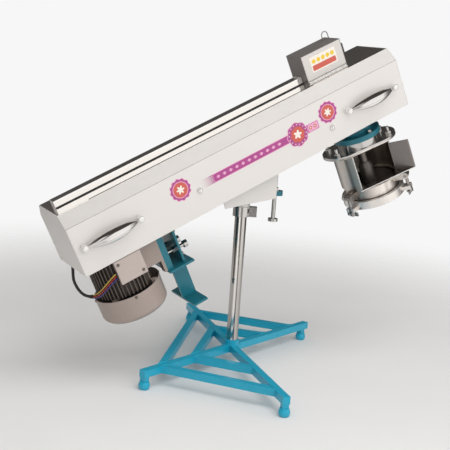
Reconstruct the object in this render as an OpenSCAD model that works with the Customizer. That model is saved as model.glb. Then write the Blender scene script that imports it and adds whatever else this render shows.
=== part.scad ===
// Motor-driven sev extruder: a tilting boom on a pole stand, with the motor under one end and the
// extruding head under the other. Origin on the floor under the middle of its box, +X towards the head,
// -Y the front.

/* [Stand] */
// Side of the stand's square tube
tube = 20; // [16:1:26]
// Wall of the stand's square tube
tube_wall = 2; // [1.5:0.5:4]
// Height of the bars' top faces above the floor
bar_top = 54; // [46:1:70]
// Reach of the left and right bars from the pole
side_reach = 364; // [330:1:400]
// Direction of the right bar, seen from above
side_angle = 22; // [18:1:26]
// Reach of the front and rear bars from the pole
depth_reach = 428; // [390:1:460]
// Direction of the rear bar, seen from above
depth_angle = 81; // [78:1:85]
// How far the right and rear legs are set in from their bars' ends
bar_overhang = 12; // [0:1:20]
// Place of the inner braces on the left and right bars
brace_side_inner = 162; // [130:1:190]
// Place of the outer braces on the left and right bars
brace_side_outer = 292; // [250:1:310]
// Place of the inner brace on the rear bar
brace_rear_inner = 172; // [140:1:200]
// Place of the outer braces on the rear bar
brace_rear_outer = 343; // [300:1:370]
// Place of the inner brace on the front bar
brace_front_inner = 200; // [150:1:230]
// Place of the outer brace on the front bar
brace_front_outer = 366; // [320:1:385]
// Side of a leg post
leg_w = 17; // [14:1:20]
// Diameter of a foot
foot_d = 31; // [26:1:40]
// Height of a foot
foot_h = 21; // [18:1:25]
// Diameter of the pole
pole_d = 33.4; // [30:0.1:36]
// Wall of the pole
pole_wall = 3.2; // [2:0.1:4]
// Outer diameter of the pole socket
socket_d = 42; // [41:0.5:50]
// Height of the socket's top above the floor
socket_top = 68; // [60:1:90]
// Outer diameter of the clamp collar
collar_d = 47; // [44:0.5:54]
// Height of the clamp collar
collar_h = 28; // [20:1:36]
// Length of the collar's ears beyond its ring
collar_ear = 20; // [16:1:28]
// Thickness of one collar ear
collar_ear_t = 9; // [7:0.5:12]
// Width of the collar's slit
collar_slit = 3; // [2:0.5:5]
// Direction of the collar's ears, seen from above
collar_angle = -28; // [-60:1:0]
// Diameter of the collar bolt
collar_bolt_d = 8; // [6:1:8]

/* [Yoke] */
// Height of the tilt pivot above the floor
pivot_h = 566; // [540:1:600]
// Tilt of the boom at rest
boom_tilt = 25.8; // [20:0.1:28]
// Distance from the tilt pivot down to the collar's top
collar_drop = 107; // [100:1:115]
// Thickness of the yoke's sheet
yoke_t = 3; // [2:0.5:4]
// Width of the yoke over its side plates
yoke_w = 103; // [95:1:106]
// Reach of the yoke to the left of the pole
yoke_left = 85; // [75:1:92]
// Reach of the yoke to the right of the pole
yoke_right = 80; // [70:1:86]
// Drop of the yoke's lower left corner below the pivot
yoke_drop_left = 104; // [98:1:106]
// Drop of the yoke's lower right corner below the pivot
yoke_drop_right = 78; // [70:1:84]
// Outer diameter of the yoke's sleeve
sleeve_d = 46; // [44:1:54]
// Depth of the yoke's cross block
block_h = 24; // [18:1:30]
// Length of the cross block along the boom
block_l = 60; // [50:1:80]
// Diameter of the pivot bolt
pivot_d = 16; // [12:1:20]
// Outer diameter of a pivot boss
boss_d = 40; // [30:1:42]
// Diameter of the stop screw
stop_screw_d = 12; // [8:1:16]
// Diameter of the stop screw's head
stop_head_d = 28; // [22:1:36]
// Thickness of the stop screw's head
stop_head_h = 8; // [6:1:12]
// Drop of the stop screw's lower end below the pivot
stop_drop = 153; // [140:1:165]
// Distance of the stop screw from the pole
stop_x = 105; // [98:1:112]
// Length of the lug past the stop screw
lug_end = 24; // [14:1:30]
// Width of the lug
lug_w = 30; // [22:1:40]
// Thickness of the lug
lug_t = 14; // [10:1:18]

/* [Boom] */
// Reach of the boom from its origin to the motor end
boom_left = 545; // [530:1:560]
// Reach of the boom from its origin to the head end
boom_right = 520; // [500:1:550]
// Depth of the boom from front to rear
boom_w = 203; // [195:1:215]
// Depth of the boom's flat top
boom_top_w = 147; // [130:1:160]
// Height of the boom
boom_h = 171; // [165:1:185]
// Height of the boom's upright sides
side_h = 137; // [130:1:145]
// Thickness of the cover sheet
sheet = 1.5; // [1:0.1:2]
// Thickness of an end cap
cap_t = 2; // [1.5:0.5:3]
// Width of the covers' bottom flange
flange_w = 7; // [5:0.5:7.5]
// Width of the covers' lip under the top
lip_w = 14; // [8:1:20]
// Thickness of a side rail
rail_t = 6; // [4:0.5:8]
// Height of a side rail
rail_h = 72; // [66:1:80]
// Thickness of the cross plates
plate_t = 6; // [5:0.5:8]
// Height of the pivot above the boom's bottom
pivot_rise = 22; // [21:0.5:26]
// Place of the pivot along the boom
pivot_s = 10.6; // [0:0.1:20]
// Diameter of the tilt stop rod
stop_rod_d = 12; // [10:1:14]
// Diameter of a cover screw's dome
screw_dome_d = 18; // [14:1:22]
// Diameter of a cover screw's shank
screw_d = 6; // [4:0.5:8]

/* [Handles] */
// Distance between a handle's bosses
handle_span = 164; // [140:1:180]
// How far a handle's bow stands out past its bosses
handle_bow = 20; // [12:1:30]
// Height of a handle's grip at its middle
grip_h = 34; // [24:1:38]
// Thickness of a handle's grip at its middle
grip_t = 12; // [8:1:16]
// Diameter of a handle's boss
handle_boss_d = 18; // [14:1:24]
// Height of a handle's boss without its dome
handle_boss_h = 14; // [10:1:20]
// Place of the left handle along the boom
handle_left_s = -439; // [-450:1:-420]
// Place of the right handle along the boom
handle_right_s = 402; // [385:1:415]
// Height of the left handle on the cover
handle_left_t = 75; // [60:1:100]
// Height of the right handle on the cover
handle_right_t = 70; // [60:1:100]

/* [Control box] */
// Start of the control box along the boom
box_s = 260; // [250:1:275]
// Length of the control box
box_l = 136; // [120:1:150]
// Height of the control box
box_h = 80; // [66:1:95]
// Depth of the control box
box_w = 77; // [66:1:90]
// Place of the control box's front face
box_front = -46; // [-60:1:-35]
// Height of the sill under the control box's front panel
box_sill = 6; // [4:0.5:12]
// Width of the cable duct
duct_w = 30; // [20:1:40]
// Height of the cable duct
duct_h = 20; // [14:1:26]
// Gap between the boom's motor end and the duct
duct_inset = 18; // [8:1:30]
// Middle of the cable duct from front to rear
duct_y = -3; // [-8:1:4]
// Diameter of the switch knob
knob_d = 30; // [20:1:36]
// Length of the switch knob
knob_l = 16; // [10:1:22]
// Radius of the wire loop on the box
loop_r = 10; // [6:1:14]
// Diameter of the loop's wire
loop_wire_d = 3; // [2:0.5:4]

/* [Motor] */
// Place of the motor's axis along the boom
motor_s = -430; // [-440:1:-425]
// Radius of the motor frame without fins
frame_r = 74; // [68:1:76]
// Height of the motor's fins
fin_h = 8; // [4:0.5:9]
// Thickness of a fin
fin_t = 3; // [2:0.5:4]
// Angle between fins
fin_step = 8; // [7:1:12]
// Drop of the motor frame's lower end below the boom
frame_drop = 115; // [108:1:122]
// Rise of the motor frame's upper end into the boom
frame_rise = 42; // [36:1:46]
// Radius of the fan cowl
cowl_r = 93; // [90:0.5:100]
// Height of the fan cowl
cowl_h = 73; // [64:1:84]
// Wall of the fan cowl
cowl_wall = 2; // [1.5:0.5:3]
// Radius of the cowl's lower rim
cowl_round = 15; // [10:1:20]
// Diameter of the motor shaft
motor_shaft_d = 24; // [19:1:28]
// Radius of the motor's core
core_r = 42; // [36:1:48]
// Width of the terminal box
terminal_w = 78; // [66:1:82]
// Reach of the terminal box to the left of the motor's axis
terminal_left = 35; // [30:1:38]
// Drop of the terminal box's lower edge below the boom
terminal_drop = 69; // [60:1:80]
// Place of the terminal box's front face
terminal_front = -98; // [-99:0.5:-95]
// Thickness of the terminal box's lid
lid_t = 9; // [6:1:12]
// Distance from the motor's axis to its feet's face
foot_face = 104; // [100:1:108]
// Thickness of a motor foot
motor_foot_t = 8; // [6:1:10]
// Place of the motor feet's gussets from the middle
gusset_y = 58; // [50:1:62]

/* [Motor hanger] */
// Thickness of the hanger's plates
hanger_t = 6; // [5:0.5:8]
// Width of the hanger's plates
hanger_w = 124; // [110:1:140]
// Drop of the hanger's plates below the boom
hanger_drop = 112; // [106:1:118]
// Depth of the motor plate's flanges
channel_d = 18; // [12:1:24]
// Distance from the motor plate to the hanger plate
hanger_gap = 50; // [40:1:56]
// Diameter of the tension bolts
tension_d = 10; // [8:1:12]
// Place of the tension bolts below the boom
tension_drop = 80; // [60:1:95]
// Distance of the tension bolts from the middle
tension_y = 26; // [18:1:40]
// Length of the shelf and the foot plate across the boom
rest_w = 150; // [120:1:170]
// Width of the rest arm
rest_arm_w = 43; // [34:1:50]
// Thickness of the rest arm
rest_arm_t = 8; // [6:1:12]
// Length of the rest arm
rest_arm_h = 114; // [100:1:125]

/* [Drive] */
// Place of the countershaft along the boom
counter_s = -165; // [-172:1:-160]
// Diameter of the countershaft
counter_d = 20; // [16:1:24]
// Root radius of the motor pulley
motor_root = 32; // [28:1:40]
// Root radius of the countershaft's small pulley
small_root = 27; // [22:1:36]
// Root radius of the two large pulleys
large_root = 70; // [60:1:72]
// Height of the first belt's middle above the boom's bottom
belt_low = 78; // [76:1:80]
// Height of the second belt's middle above the boom's bottom
belt_high = 111; // [108:1:118]
// Width of a belt
belt_w = 16; // [12:1:18]
// Thickness of a belt
belt_t = 5; // [4:0.5:6]
// Height of a pulley's flanges above its root
pulley_flange = 6; // [5:0.5:8]
// Thickness of a pulley's flanges
pulley_flange_t = 3; // [2:0.5:4]

/* [Head] */
// Place of the head's axis along the boom
head_s = 385; // [378:1:392]
// Turn of the head about its axis
head_yaw = -10.4; // [-20:0.1:0]
// Radius of the bearing housing's neck
neck_r = 50; // [44:1:56]
// Radius of the bearing housing's flange
housing_r = 72; // [66:1:80]
// Drop of the housing flange's top face below the boom
housing_drop = 36; // [28:1:42]
// Thickness of the housing's flange
housing_t = 15; // [10:1:20]
// Radius of the steel boss under the housing
boss_r = 62; // [56:1:64]
// Height of the steel boss
boss_h = 23; // [18:1:30]
// Thickness of the oblong flange
ear_plate_t = 5; // [4:0.5:8]
// Radius of the oblong flange's ends
ear_r = 67; // [65:1:72]
// Distance of the ends' centres from the axis
ear_reach = 48; // [42:1:54]
// Distance of the studs from the axis along the flange
stud_x = 85; // [78:1:90]
// Distance of the studs from the axis across the flange
stud_y = 33; // [26:1:38]
// Diameter of a stud
stud_d = 10; // [8:1:12]
// Radius of the feed drum
drum_r = 86; // [84:1:90]
// Wall of the feed drum
drum_wall = 3; // [2:0.5:4]
// Thickness of the drum's top plate
drum_top_t = 4; // [3:0.5:6]
// Height of the feed window
window_h = 107; // [100:1:114]
// Radius of the barrel below the window
barrel_r = 80; // [76:1:81]
// Height of the barrel below the window
barrel_h = 41; // [38:1:48]
// Left edge of the feed window, as an angle about the axis
window_left = 230; // [222:1:236]
// Right edge of the feed window, as an angle about the axis
window_right = 330; // [324:1:334]
// Distance from the axis to the tray's lip
lip_y = 77; // [72:1:82]
// Reach of the tray to the right of the axis
tray_right = 120; // [110:1:126]
// Depth of the tray
tray_d = 25; // [18:1:28]
// Thickness of the tray's sheet
tray_t = 3; // [2:0.5:4]
// Height of the guide plate on the tray
guide_h = 92; // [70:1:100]
// Thickness of the die plate
die_t = 5; // [4:0.5:8]
// Diameter of a hole in the die plate
die_hole_d = 6; // [3:0.5:8]
// Distance between holes in the die plate
die_pitch = 17; // [13:1:20]
// Radius of the die ring
ring_r = 94; // [91:1:96]
// Width of the ring's lip under the die plate
ring_lip = 10; // [6:1:14]
// Height of the ring's lip under the die plate
ring_lip_h = 14; // [10:1:18]
// How far the ring reaches up round the barrel
ring_lap = 5; // [3:0.5:8]
// Diameter of the rotor shaft
rotor_d = 25; // [20:1:28]
// Radius of the screw's hub
hub_r = 22; // [18:1:26]
// Rise of the screw's flight
screw_rise = 32; // [26:1:33]
// Thickness of the screw's flight
flight_t = 4; // [3:0.5:6]

/* [Swing bolts] */
// Direction of the right swing bolt, as an angle about the axis
clamp_turn = -35; // [-42:1:-28]
// Distance from the axis to a swing bolt's pin
clamp_r = 108; // [106:1:112]
// Drop of a swing bolt's pin below the window's lower edge
clamp_drop = 13; // [12:0.5:15]
// Diameter of a swing bolt's shank
swing_d = 10; // [8:1:11]
// Diameter of a swing bolt's eye
eye_d = 20; // [18:1:21]
// Thickness of a swing bolt's eye
eye_t = 16; // [14:1:18]
// Thickness of a lug plate beside the eye
clevis_t = 8; // [5:1:10]
// Drop of the fork's underside below the pin
fork_drop = 46; // [44:0.5:48]
// Thickness of the fork
fork_t = 12; // [9:1:12]

/* [Hidden] */
$fn = 64;
// Clearances: turning fits, seated joints and pieces of different bodies
run_gap = 0.05;
seat_gap = 0.1;
body_gap = 0.3;

base_blue = [0.16, 0.60, 0.74];
frame_teal = [0.13, 0.47, 0.53];
steel_white = [0.90, 0.89, 0.88];
steel_bright = [0.80, 0.79, 0.78];
motor_beige = [0.64, 0.59, 0.57];
motor_brown = [0.30, 0.25, 0.22];
rubber_black = [0.08, 0.08, 0.08];
iron_grey = [0.42, 0.42, 0.43];

bar_low = bar_top - tube;
collar_top = pivot_h - collar_drop;
sleeve_top = collar_top + 56;
pole_top = sleeve_top - block_h / 4;

slope = atan2((boom_w - boom_top_w) / 2, boom_h - side_h);
boom_face = boom_w / 2;
rail_in = boom_face - sheet - rail_t;
plate_low = sheet;
plate_top = plate_low + plate_t;

yoke_in = yoke_w / 2 - yoke_t;
stop_rod_t = plate_top + stop_rod_d / 2;
stop_rod_x = -(yoke_left + stop_rod_d / 2 + body_gap);
stop_rod_s = pivot_s + (stop_rod_x + (stop_rod_t - pivot_rise) * sin(boom_tilt)) / cos(boom_tilt);
stop_tip = pivot_h - pivot_rise + plate_low - body_gap;

frame_top = frame_rise + 14;
pulley_h = belt_w + 2 * pulley_flange_t + 2;
motor_plate_s = motor_s + foot_face;
hanger_s = motor_plate_s + hanger_gap;
shelf_low = -hanger_drop - hanger_t;
rest_s = hanger_s - rest_arm_w / 2;

flange_top = -housing_drop - housing_t - boss_h;
flange_low = flange_top - ear_plate_t;
window_top = flange_low - drum_top_t;
window_low = window_top - window_h;
drum_low = window_low - barrel_h;
die_low = drum_low - die_t;
ring_top = drum_low + ring_lap;
ring_low = die_low - ring_lip_h;
pin_t = window_low - clamp_drop;
nut_h = 10;
box_top = boom_h + box_h;
// Middle of the whole machine's box, seen from the pole's axis
middle_x = -10.881;
middle_y = -2.019;

// Frames

// The machine with the middle of its box over the origin
module placed() {
  translate([-middle_x, -middle_y, 0])
    children();
}

// The boom's frame: X along the boom, Y across it, Z up from its bottom face
module in_boom() {
  translate([0, 0, pivot_h])
    rotate([0, -boom_tilt, 0])
      translate([-pivot_s, 0, -pivot_rise])
        children();
}

// The head's frame: its Z axis is the rotor's axis and the feed window faces -Y
module in_head() {
  in_boom()
    translate([head_s, 0, 0])
      rotate([0, 0, head_yaw])
        children();
}

// One swing bolt's frame: X points outwards, the pin lies along Y through the origin
module in_clamp(turn) {
  in_head()
    rotate([0, 0, clamp_turn + turn])
      translate([clamp_r, 0, pin_t])
        children();
}

// An outline in the boom's cross-section, drawn out along the boom
module along_boom(from, to) {
  translate([from, 0, 0])
    rotate([90, 0, 90])
      linear_extrude(to - from)
        children();
}

// An outline in a plane square to Y, drawn out from one Y to another
module across(from, to) {
  translate([0, to, 0])
    rotate([90, 0, 0])
      linear_extrude(to - from)
        children();
}

// A box between two corners
module block(low, high) {
  translate(low)
    cube(high - low);
}

module rod_y(r, from, to) {
  translate([0, to, 0])
    rotate([90, 0, 0])
      cylinder(r = r, h = to - from);
}

module rod_x(r, from, to) {
  translate([from, 0, 0])
    rotate([0, 90, 0])
      cylinder(r = r, h = to - from);
}

module rod_z(r, from, to) {
  translate([0, 0, from])
    cylinder(r = r, h = to - from);
}

// Hexagon along Z, by its width across flats
module hex_z(flats, from, to) {
  translate([0, 0, from])
    cylinder(r = flats / sqrt(3), h = to - from, $fn = 6);
}

// Stand

module bar_blank(angle, reach, inset, start) {
  rotate([0, 0, angle])
    block([start, -tube / 2 + inset, bar_low + inset], [reach, tube / 2 - inset, bar_top - inset]);
}

module stand_bar(angle, reach) {
  difference() {
    bar_blank(angle, reach, 0, 0);
    bar_blank(angle, reach - tube_wall, tube_wall, 0);
    rod_z(socket_d / 2 + seat_gap, 0, bar_top + tube);
  }
}

module side_bars() {
  color(base_blue) {
    stand_bar(side_angle, side_reach);
    stand_bar(side_angle + 180, side_reach);
  }
}

module depth_bars() {
  color(base_blue) {
    stand_bar(depth_angle, depth_reach);
    stand_bar(depth_angle + 180, depth_reach);
  }
}

function polar(r, a) = [r * cos(a), r * sin(a)];

// A tube from the middle of one bar to the middle of another, cut to their sides
module brace(angle_a, r_a, angle_b, r_b) {
  start = polar(r_a, angle_a);
  run = polar(r_b, angle_b) - start;
  difference() {
    translate([start.x, start.y, 0])
      difference() {
        bar_blank(atan2(run.y, run.x), norm(run), 0, 0);
        bar_blank(atan2(run.y, run.x), norm(run), tube_wall, 0);
      }
    for (a = [angle_a, angle_b])
      bar_blank(a, side_reach + depth_reach, -seat_gap, 0);
  }
}

module braces() {
  left = side_angle + 180;
  front = depth_angle + 180;
  color(base_blue) {
    brace(depth_angle, brace_rear_outer, left, brace_side_outer);
    brace(depth_angle, brace_rear_inner, left, brace_side_inner);
    brace(left, brace_side_outer, front, brace_front_outer);
    brace(left, brace_side_inner, front, brace_front_inner);
    brace(depth_angle, brace_rear_outer, side_angle, brace_side_outer);
    brace(depth_angle, brace_rear_inner, side_angle, brace_side_inner);
  }
}

// Puts its children at each of the four legs
module at_legs() {
  for (turn = [0, 180]) {
    inset = tube / 2 + (turn == 0 ? bar_overhang : 0);
    rotate([0, 0, side_angle + turn])
      translate([side_reach - inset, 0, 0])
        children();
    rotate([0, 0, depth_angle + turn])
      translate([depth_reach - inset, 0, 0])
        children();
  }
}

module leg_posts() {
  color(base_blue)
    at_legs()
      block([-leg_w / 2, -leg_w / 2, foot_h], [leg_w / 2, leg_w / 2, bar_low]);
}

module feet() {
  color(base_blue)
    at_legs()
      intersection() {
        translate([0, 0, foot_h / 2])
          sphere(d = foot_d);
        block([-foot_d, -foot_d, 0], [foot_d, foot_d, foot_h]);
      }
}

module pole_socket() {
  color(base_blue)
    difference() {
      rod_z(socket_d / 2, bar_low, socket_top);
      rod_z(pole_d / 2 + seat_gap, bar_low - 1, socket_top + 1);
    }
}

module pole() {
  color(steel_bright)
    difference() {
      rod_z(pole_d / 2, bar_low, pole_top);
      rod_z(pole_d / 2 - pole_wall, bar_low - 1, pole_top + 1);
    }
}

// Place of the collar's bolt, out along the ears and up the collar
collar_bolt_x = collar_d / 2 + collar_ear / 2;
collar_bolt_z = collar_top - collar_h / 2;

module clamp_collar() {
  ear_y = collar_slit / 2 + collar_ear_t;
  color(steel_bright)
    rotate([0, 0, collar_angle])
      difference() {
        union() {
          rod_z(collar_d / 2, collar_top - collar_h, collar_top);
          block([pole_d / 2, -ear_y, collar_top - collar_h], [collar_d / 2 + collar_ear, ear_y, collar_top]);
        }
        rod_z(pole_d / 2 + seat_gap, collar_top - collar_h - 1, collar_top + 1);
        block([0, -collar_slit / 2, collar_top - collar_h - 1],
              [collar_d + collar_ear, collar_slit / 2, collar_top + 1]);
        translate([collar_bolt_x, 0, collar_bolt_z])
          rod_y(collar_bolt_d / 2 + seat_gap, -ear_y - 1, ear_y + 1);
      }
}

module collar_bolt() {
  ear_y = collar_slit / 2 + collar_ear_t;
  head = collar_bolt_d * 0.65;
  color(steel_bright)
    rotate([0, 0, collar_angle])
      translate([collar_bolt_x, 0, collar_bolt_z])
        rotate([90, 0, 0]) {
          rod_z(collar_bolt_d / 2, -ear_y - head, ear_y);
          hex_z(collar_bolt_d * 1.6, ear_y, ear_y + head);
          difference() {
            hex_z(collar_bolt_d * 1.6, -ear_y - head, -ear_y);
            rod_z(collar_bolt_d / 2 + seat_gap, -ear_y - head - 1, -ear_y + 1);
          }
        }
}

// Yoke

// Rise of the yoke's top edge and of its left shoulder about the pivot
yoke_top = 24;
yoke_shoulder = 41;
yoke_left_low = 87;
yoke_corner = 7;

module yoke_plates() {
  side = [
    [-yoke_left, -yoke_left_low], [-yoke_left + yoke_corner, -yoke_drop_left],
    [yoke_right - yoke_t, -yoke_drop_right], [yoke_right - yoke_t, yoke_top],
    [-yoke_left / 3, yoke_top], [-yoke_left, -yoke_shoulder]
  ];
  color(steel_white)
    translate([0, 0, pivot_h]) {
      for (m = [0, 1])
        mirror([0, m, 0])
          difference() {
            across(yoke_in, yoke_w / 2)
              polygon(side);
            rod_y(pivot_d / 2 + run_gap, 0, yoke_w);
          }
      block([yoke_right - yoke_t, -yoke_w / 2, -yoke_drop_right], [yoke_right, yoke_w / 2, yoke_top]);
    }
}

module yoke_sleeve() {
  color(frame_teal)
    difference() {
      union() {
        rod_z(sleeve_d / 2, collar_top + body_gap, sleeve_top);
        block([-block_l / 2, -yoke_in, sleeve_top - block_h], [block_l / 2, yoke_in, sleeve_top]);
      }
      rod_z(pole_d / 2 + run_gap, collar_top, pole_top + body_gap);
    }
}

lug_top = pivot_h - yoke_drop_right + lug_t;

module stop_lug() {
  end_x = stop_x + lug_end - lug_w / 2;
  color(frame_teal)
    difference() {
      translate([0, 0, lug_top - lug_t])
        linear_extrude(lug_t) {
          translate([yoke_right, -lug_w * 0.48])
            square([end_x - yoke_right, lug_w * 0.96]);
          translate([end_x, 0])
            circle(d = lug_w);
        }
      translate([stop_x, 0, 0])
        rod_z(stop_screw_d / 2 + run_gap, lug_top - lug_t - 1, lug_top + 1);
    }
}

module stop_screw() {
  low = pivot_h - stop_drop;
  color(steel_bright)
    translate([stop_x, 0, 0]) {
      rod_z(stop_screw_d / 2, low, stop_tip);
      rod_z(stop_head_d / 2, low, low + stop_head_h);
    }
}

// Boom

// Half width of the outer chamfer at a height
function chamfer_y(t) = boom_top_w / 2 + (boom_h - t) * tan(slope);

function cover_outline() = [
  [-boom_face, 0],
  [-boom_face, side_h],
  [-chamfer_y(boom_h - sheet), boom_h - sheet],
  [-(boom_top_w / 2 - lip_w), boom_h - sheet],
  [-(boom_top_w / 2 - lip_w), boom_h - 2 * sheet],
  [-(chamfer_y(boom_h - 2 * sheet) - sheet / cos(slope)), boom_h - 2 * sheet],
  [-(boom_face - sheet), side_h - sheet * tan(slope / 2)],
  [-(boom_face - sheet), sheet],
  [-(boom_face - flange_w), sheet],
  [-(boom_face - flange_w), 0]
];

// Places of the dome screws along and up the cover
cover_screw_places = [[-175, 64], [259, 46]];

module side_cover() {
  difference() {
    along_boom(-boom_left + cap_t, boom_right - cap_t)
      polygon(cover_outline());
    for (p = cover_screw_places)
      translate([p.x, 0, p.y])
        rod_y(screw_d / 2 + seat_gap, -boom_face - 1, -rail_in);
  }
}

module front_cover() {
  color(steel_white)
    in_boom()
      side_cover();
}

module rear_cover() {
  color(steel_white)
    in_boom()
      mirror([0, 1, 0])
        side_cover();
}

module top_cover() {
  color(steel_white)
    in_boom()
      block([-boom_left + cap_t, -boom_top_w / 2, boom_h - sheet],
            [boom_right - cap_t, boom_top_w / 2, boom_h]);
}

module end_cap(from) {
  along_boom(from, from + cap_t)
    polygon([
      [-boom_face, 0], [-boom_face, side_h], [-boom_top_w / 2, boom_h],
      [boom_top_w / 2, boom_h], [boom_face, side_h], [boom_face, 0]
    ]);
}

module end_caps() {
  color(steel_white)
    in_boom() {
      end_cap(-boom_left);
      end_cap(boom_right - cap_t);
    }
}

module side_rails() {
  color(frame_teal)
    in_boom()
      for (m = [0, 1])
        mirror([0, m, 0])
          difference() {
            block([-boom_left + cap_t, -rail_in - rail_t, sheet],
                  [boom_right - cap_t, -rail_in, sheet + rail_h]);
            for (p = cover_screw_places)
              translate([p.x, 0, p.y])
                rod_y(screw_d / 2 + seat_gap, -boom_face, -rail_in + 1);
          }
}

// Half lengths of the cross plates under the countershaft and the head
counter_plate_l = 50;
head_plate_l = 85;
spigot_r = neck_r - 10;

module cross_plate(from, to) {
  block([from, -rail_in, plate_low], [to, rail_in, plate_top]);
}

module cross_plates() {
  color(frame_teal)
    in_boom() {
      cross_plate(motor_s + frame_r + fin_h + 2, hanger_s + 30);
      cross_plate(counter_s - counter_plate_l, counter_s + counter_plate_l);
      cross_plate(stop_x + pivot_s - lug_w / 2, stop_x + pivot_s + lug_w / 2);
      difference() {
        cross_plate(head_s - head_plate_l, head_s + head_plate_l);
        translate([head_s, 0, 0])
          rod_z(spigot_r + seat_gap, 0, plate_top + 1);
      }
    }
}

module pivot_bosses() {
  color(frame_teal)
    in_boom()
      translate([pivot_s, 0, pivot_rise])
        for (m = [0, 1])
          mirror([0, m, 0])
            difference() {
              rod_y(boss_d / 2, yoke_w / 2 + body_gap, rail_in);
              rod_y(pivot_d / 2 + run_gap, 0, boom_w);
            }
}

module pivot_bolt() {
  color(iron_grey)
    in_boom()
      translate([pivot_s, 0, pivot_rise])
        rod_y(pivot_d / 2, -rail_in, rail_in);
}

module tilt_stop_rod() {
  color(frame_teal)
    in_boom()
      translate([stop_rod_s, 0, stop_rod_t])
        rod_y(stop_rod_d / 2, -rail_in, rail_in);
}

// A cap cut from a sphere, standing on Z = 0
module dome(d, h) {
  r = (d * d / 4 + h * h) / (2 * h);
  intersection() {
    translate([0, 0, h - r])
      sphere(r = r);
    rod_z(d, 0, h);
  }
}

module cover_screws() {
  color(steel_bright)
    in_boom()
      for (m = [0, 1])
        mirror([0, m, 0])
          for (p = cover_screw_places)
            translate([p.x, -boom_face, p.y])
              rotate([90, 0, 0])
                union() {
                  dome(screw_dome_d, screw_dome_d * 0.4);
                  rod_z(screw_d / 2, -sheet - rail_t, 0.5);
                }
}

// Handles

grip_rings = 20;
grip_sides = 12;

// One ring of the grip: u runs from -1 to 1 along the bow
function grip_ring(u) = let (
  swell = 1 - u * u,
  end_h = handle_boss_d * 0.5,
  end_t = handle_boss_d * 0.45,
  high = end_h + (grip_h - end_h) * swell,
  thick = end_t + (grip_t - end_t) * swell,
  out = handle_boss_h - end_t / 2 + handle_bow * swell
) [for (k = [0 : grip_sides - 1])
    [u * (handle_span - handle_boss_d - 2 * seat_gap) / 2,
     -out + thick / 2 * cos(360 * k / grip_sides),
     high / 2 * sin(360 * k / grip_sides)]];

// Faces of a closed tube of rings, with flat ends
function tube_faces(rings, sides) = concat(
  [for (i = [0 : rings - 2], k = [0 : sides - 1])
    let (a = i * sides + k, b = i * sides + (k + 1) % sides) [a, a + sides, b]],
  [for (i = [0 : rings - 2], k = [0 : sides - 1])
    let (a = i * sides + k, b = i * sides + (k + 1) % sides) [b, a + sides, b + sides]],
  [for (k = [1 : sides - 2]) [0, k, k + 1]],
  [for (k = [1 : sides - 2]) let (e = (rings - 1) * sides) [e, e + k + 1, e + k]]
);

module handle() {
  points = [for (i = [0 : grip_rings]) each grip_ring(2 * i / grip_rings - 1)];
  polyhedron(points, tube_faces(grip_rings + 1, grip_sides), convexity = 4);
  for (end = [-1, 1])
    translate([end * handle_span / 2, 0, 0])
      rotate([90, 0, 0])
        union() {
          rod_z(handle_boss_d / 2, 0, handle_boss_h);
          translate([0, 0, handle_boss_h])
            dome(handle_boss_d, handle_boss_d * 0.3);
        }
}

module handle_pair() {
  translate([handle_left_s, -boom_face, handle_left_t])
    handle();
  translate([handle_right_s, -boom_face, handle_right_t])
    handle();
}

module front_handles() {
  color(steel_bright)
    in_boom()
      handle_pair();
}

module rear_handles() {
  color(steel_bright)
    in_boom()
      mirror([0, 1, 0])
        handle_pair();
}

// Duct and control box

module cable_duct() {
  start = -boom_left + duct_inset;
  color(steel_bright)
    in_boom()
      translate([0, duct_y, boom_h])
        difference() {
          block([start, -duct_w / 2, 0], [box_s, duct_w / 2, duct_h]);
          block([start + sheet, -duct_w / 2 + sheet, -1], [box_s + 1, duct_w / 2 - sheet, duct_h - sheet]);
        }
}

// The box's shell: open at the front above a low sill, with holes for the duct, the switch and the gland
module control_box() {
  rear = box_front + box_w;
  right = box_s + box_l;
  color(steel_white)
    in_boom()
      difference() {
        block([box_s, box_front, boom_h], [right, rear, box_top]);
        block([box_s + sheet, box_front + sheet, boom_h + sheet],
              [right - sheet, rear - sheet, box_top - sheet]);
        block([box_s + sheet, box_front - 1, boom_h + box_sill],
              [right - sheet, box_front + 2 * sheet, box_top - sheet]);
        translate([0, duct_y, boom_h])
          block([box_s - 1, -duct_w / 2 + sheet, sheet],
                [box_s + sheet + 1, duct_w / 2 - sheet, duct_h - sheet]);
        translate([0, knob_y, knob_t])
          rod_x(spindle_d / 2 + run_gap, right - sheet - 1, right + 1);
        translate([gland_s, 0, gland_t])
          rod_y(gland_d / 2 - 2, rear - sheet - 1, rear + 1);
      }
}

// The box's front: a shallow tray that fills the opening above the sill
module control_panel() {
  edge = 12;
  low = boom_h + box_sill + seat_gap;
  color(steel_white)
    in_boom()
      difference() {
        block([box_s + sheet + seat_gap, box_front, low],
              [box_s + box_l - sheet - seat_gap, box_front + edge, box_top - sheet - seat_gap]);
        block([box_s + 2 * sheet + seat_gap, box_front + sheet, low + sheet],
              [box_s + box_l - 2 * sheet - seat_gap, box_front + edge + 1, box_top - 2 * sheet - seat_gap]);
      }
}

// Places on the box: the switch on its right wall, the loop on its top, the gland at its rear
knob_y = box_front + 24;
knob_t = boom_h + 44;
spindle_d = 8;
loop_s = box_s + box_l - 15;
loop_y = box_front + box_w / 2 + 8;
loop_leg = 14;
gland_s = box_s + box_l / 2;
gland_t = boom_h + 26;
gland_d = 18;
gland_l = 16;

module switch_knob() {
  face = box_s + box_l;
  color(rubber_black)
    in_boom()
      translate([0, knob_y, knob_t])
        union() {
          rod_x(spindle_d / 2, face - sheet - 8, face + body_gap);
          rod_x(knob_d / 2, face + body_gap, face + body_gap + knob_l * 0.4);
          block([face + body_gap, -knob_d * 0.16, -knob_d * 0.48],
                [face + knob_l, knob_d * 0.16, knob_d * 0.48]);
        }
}

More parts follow.
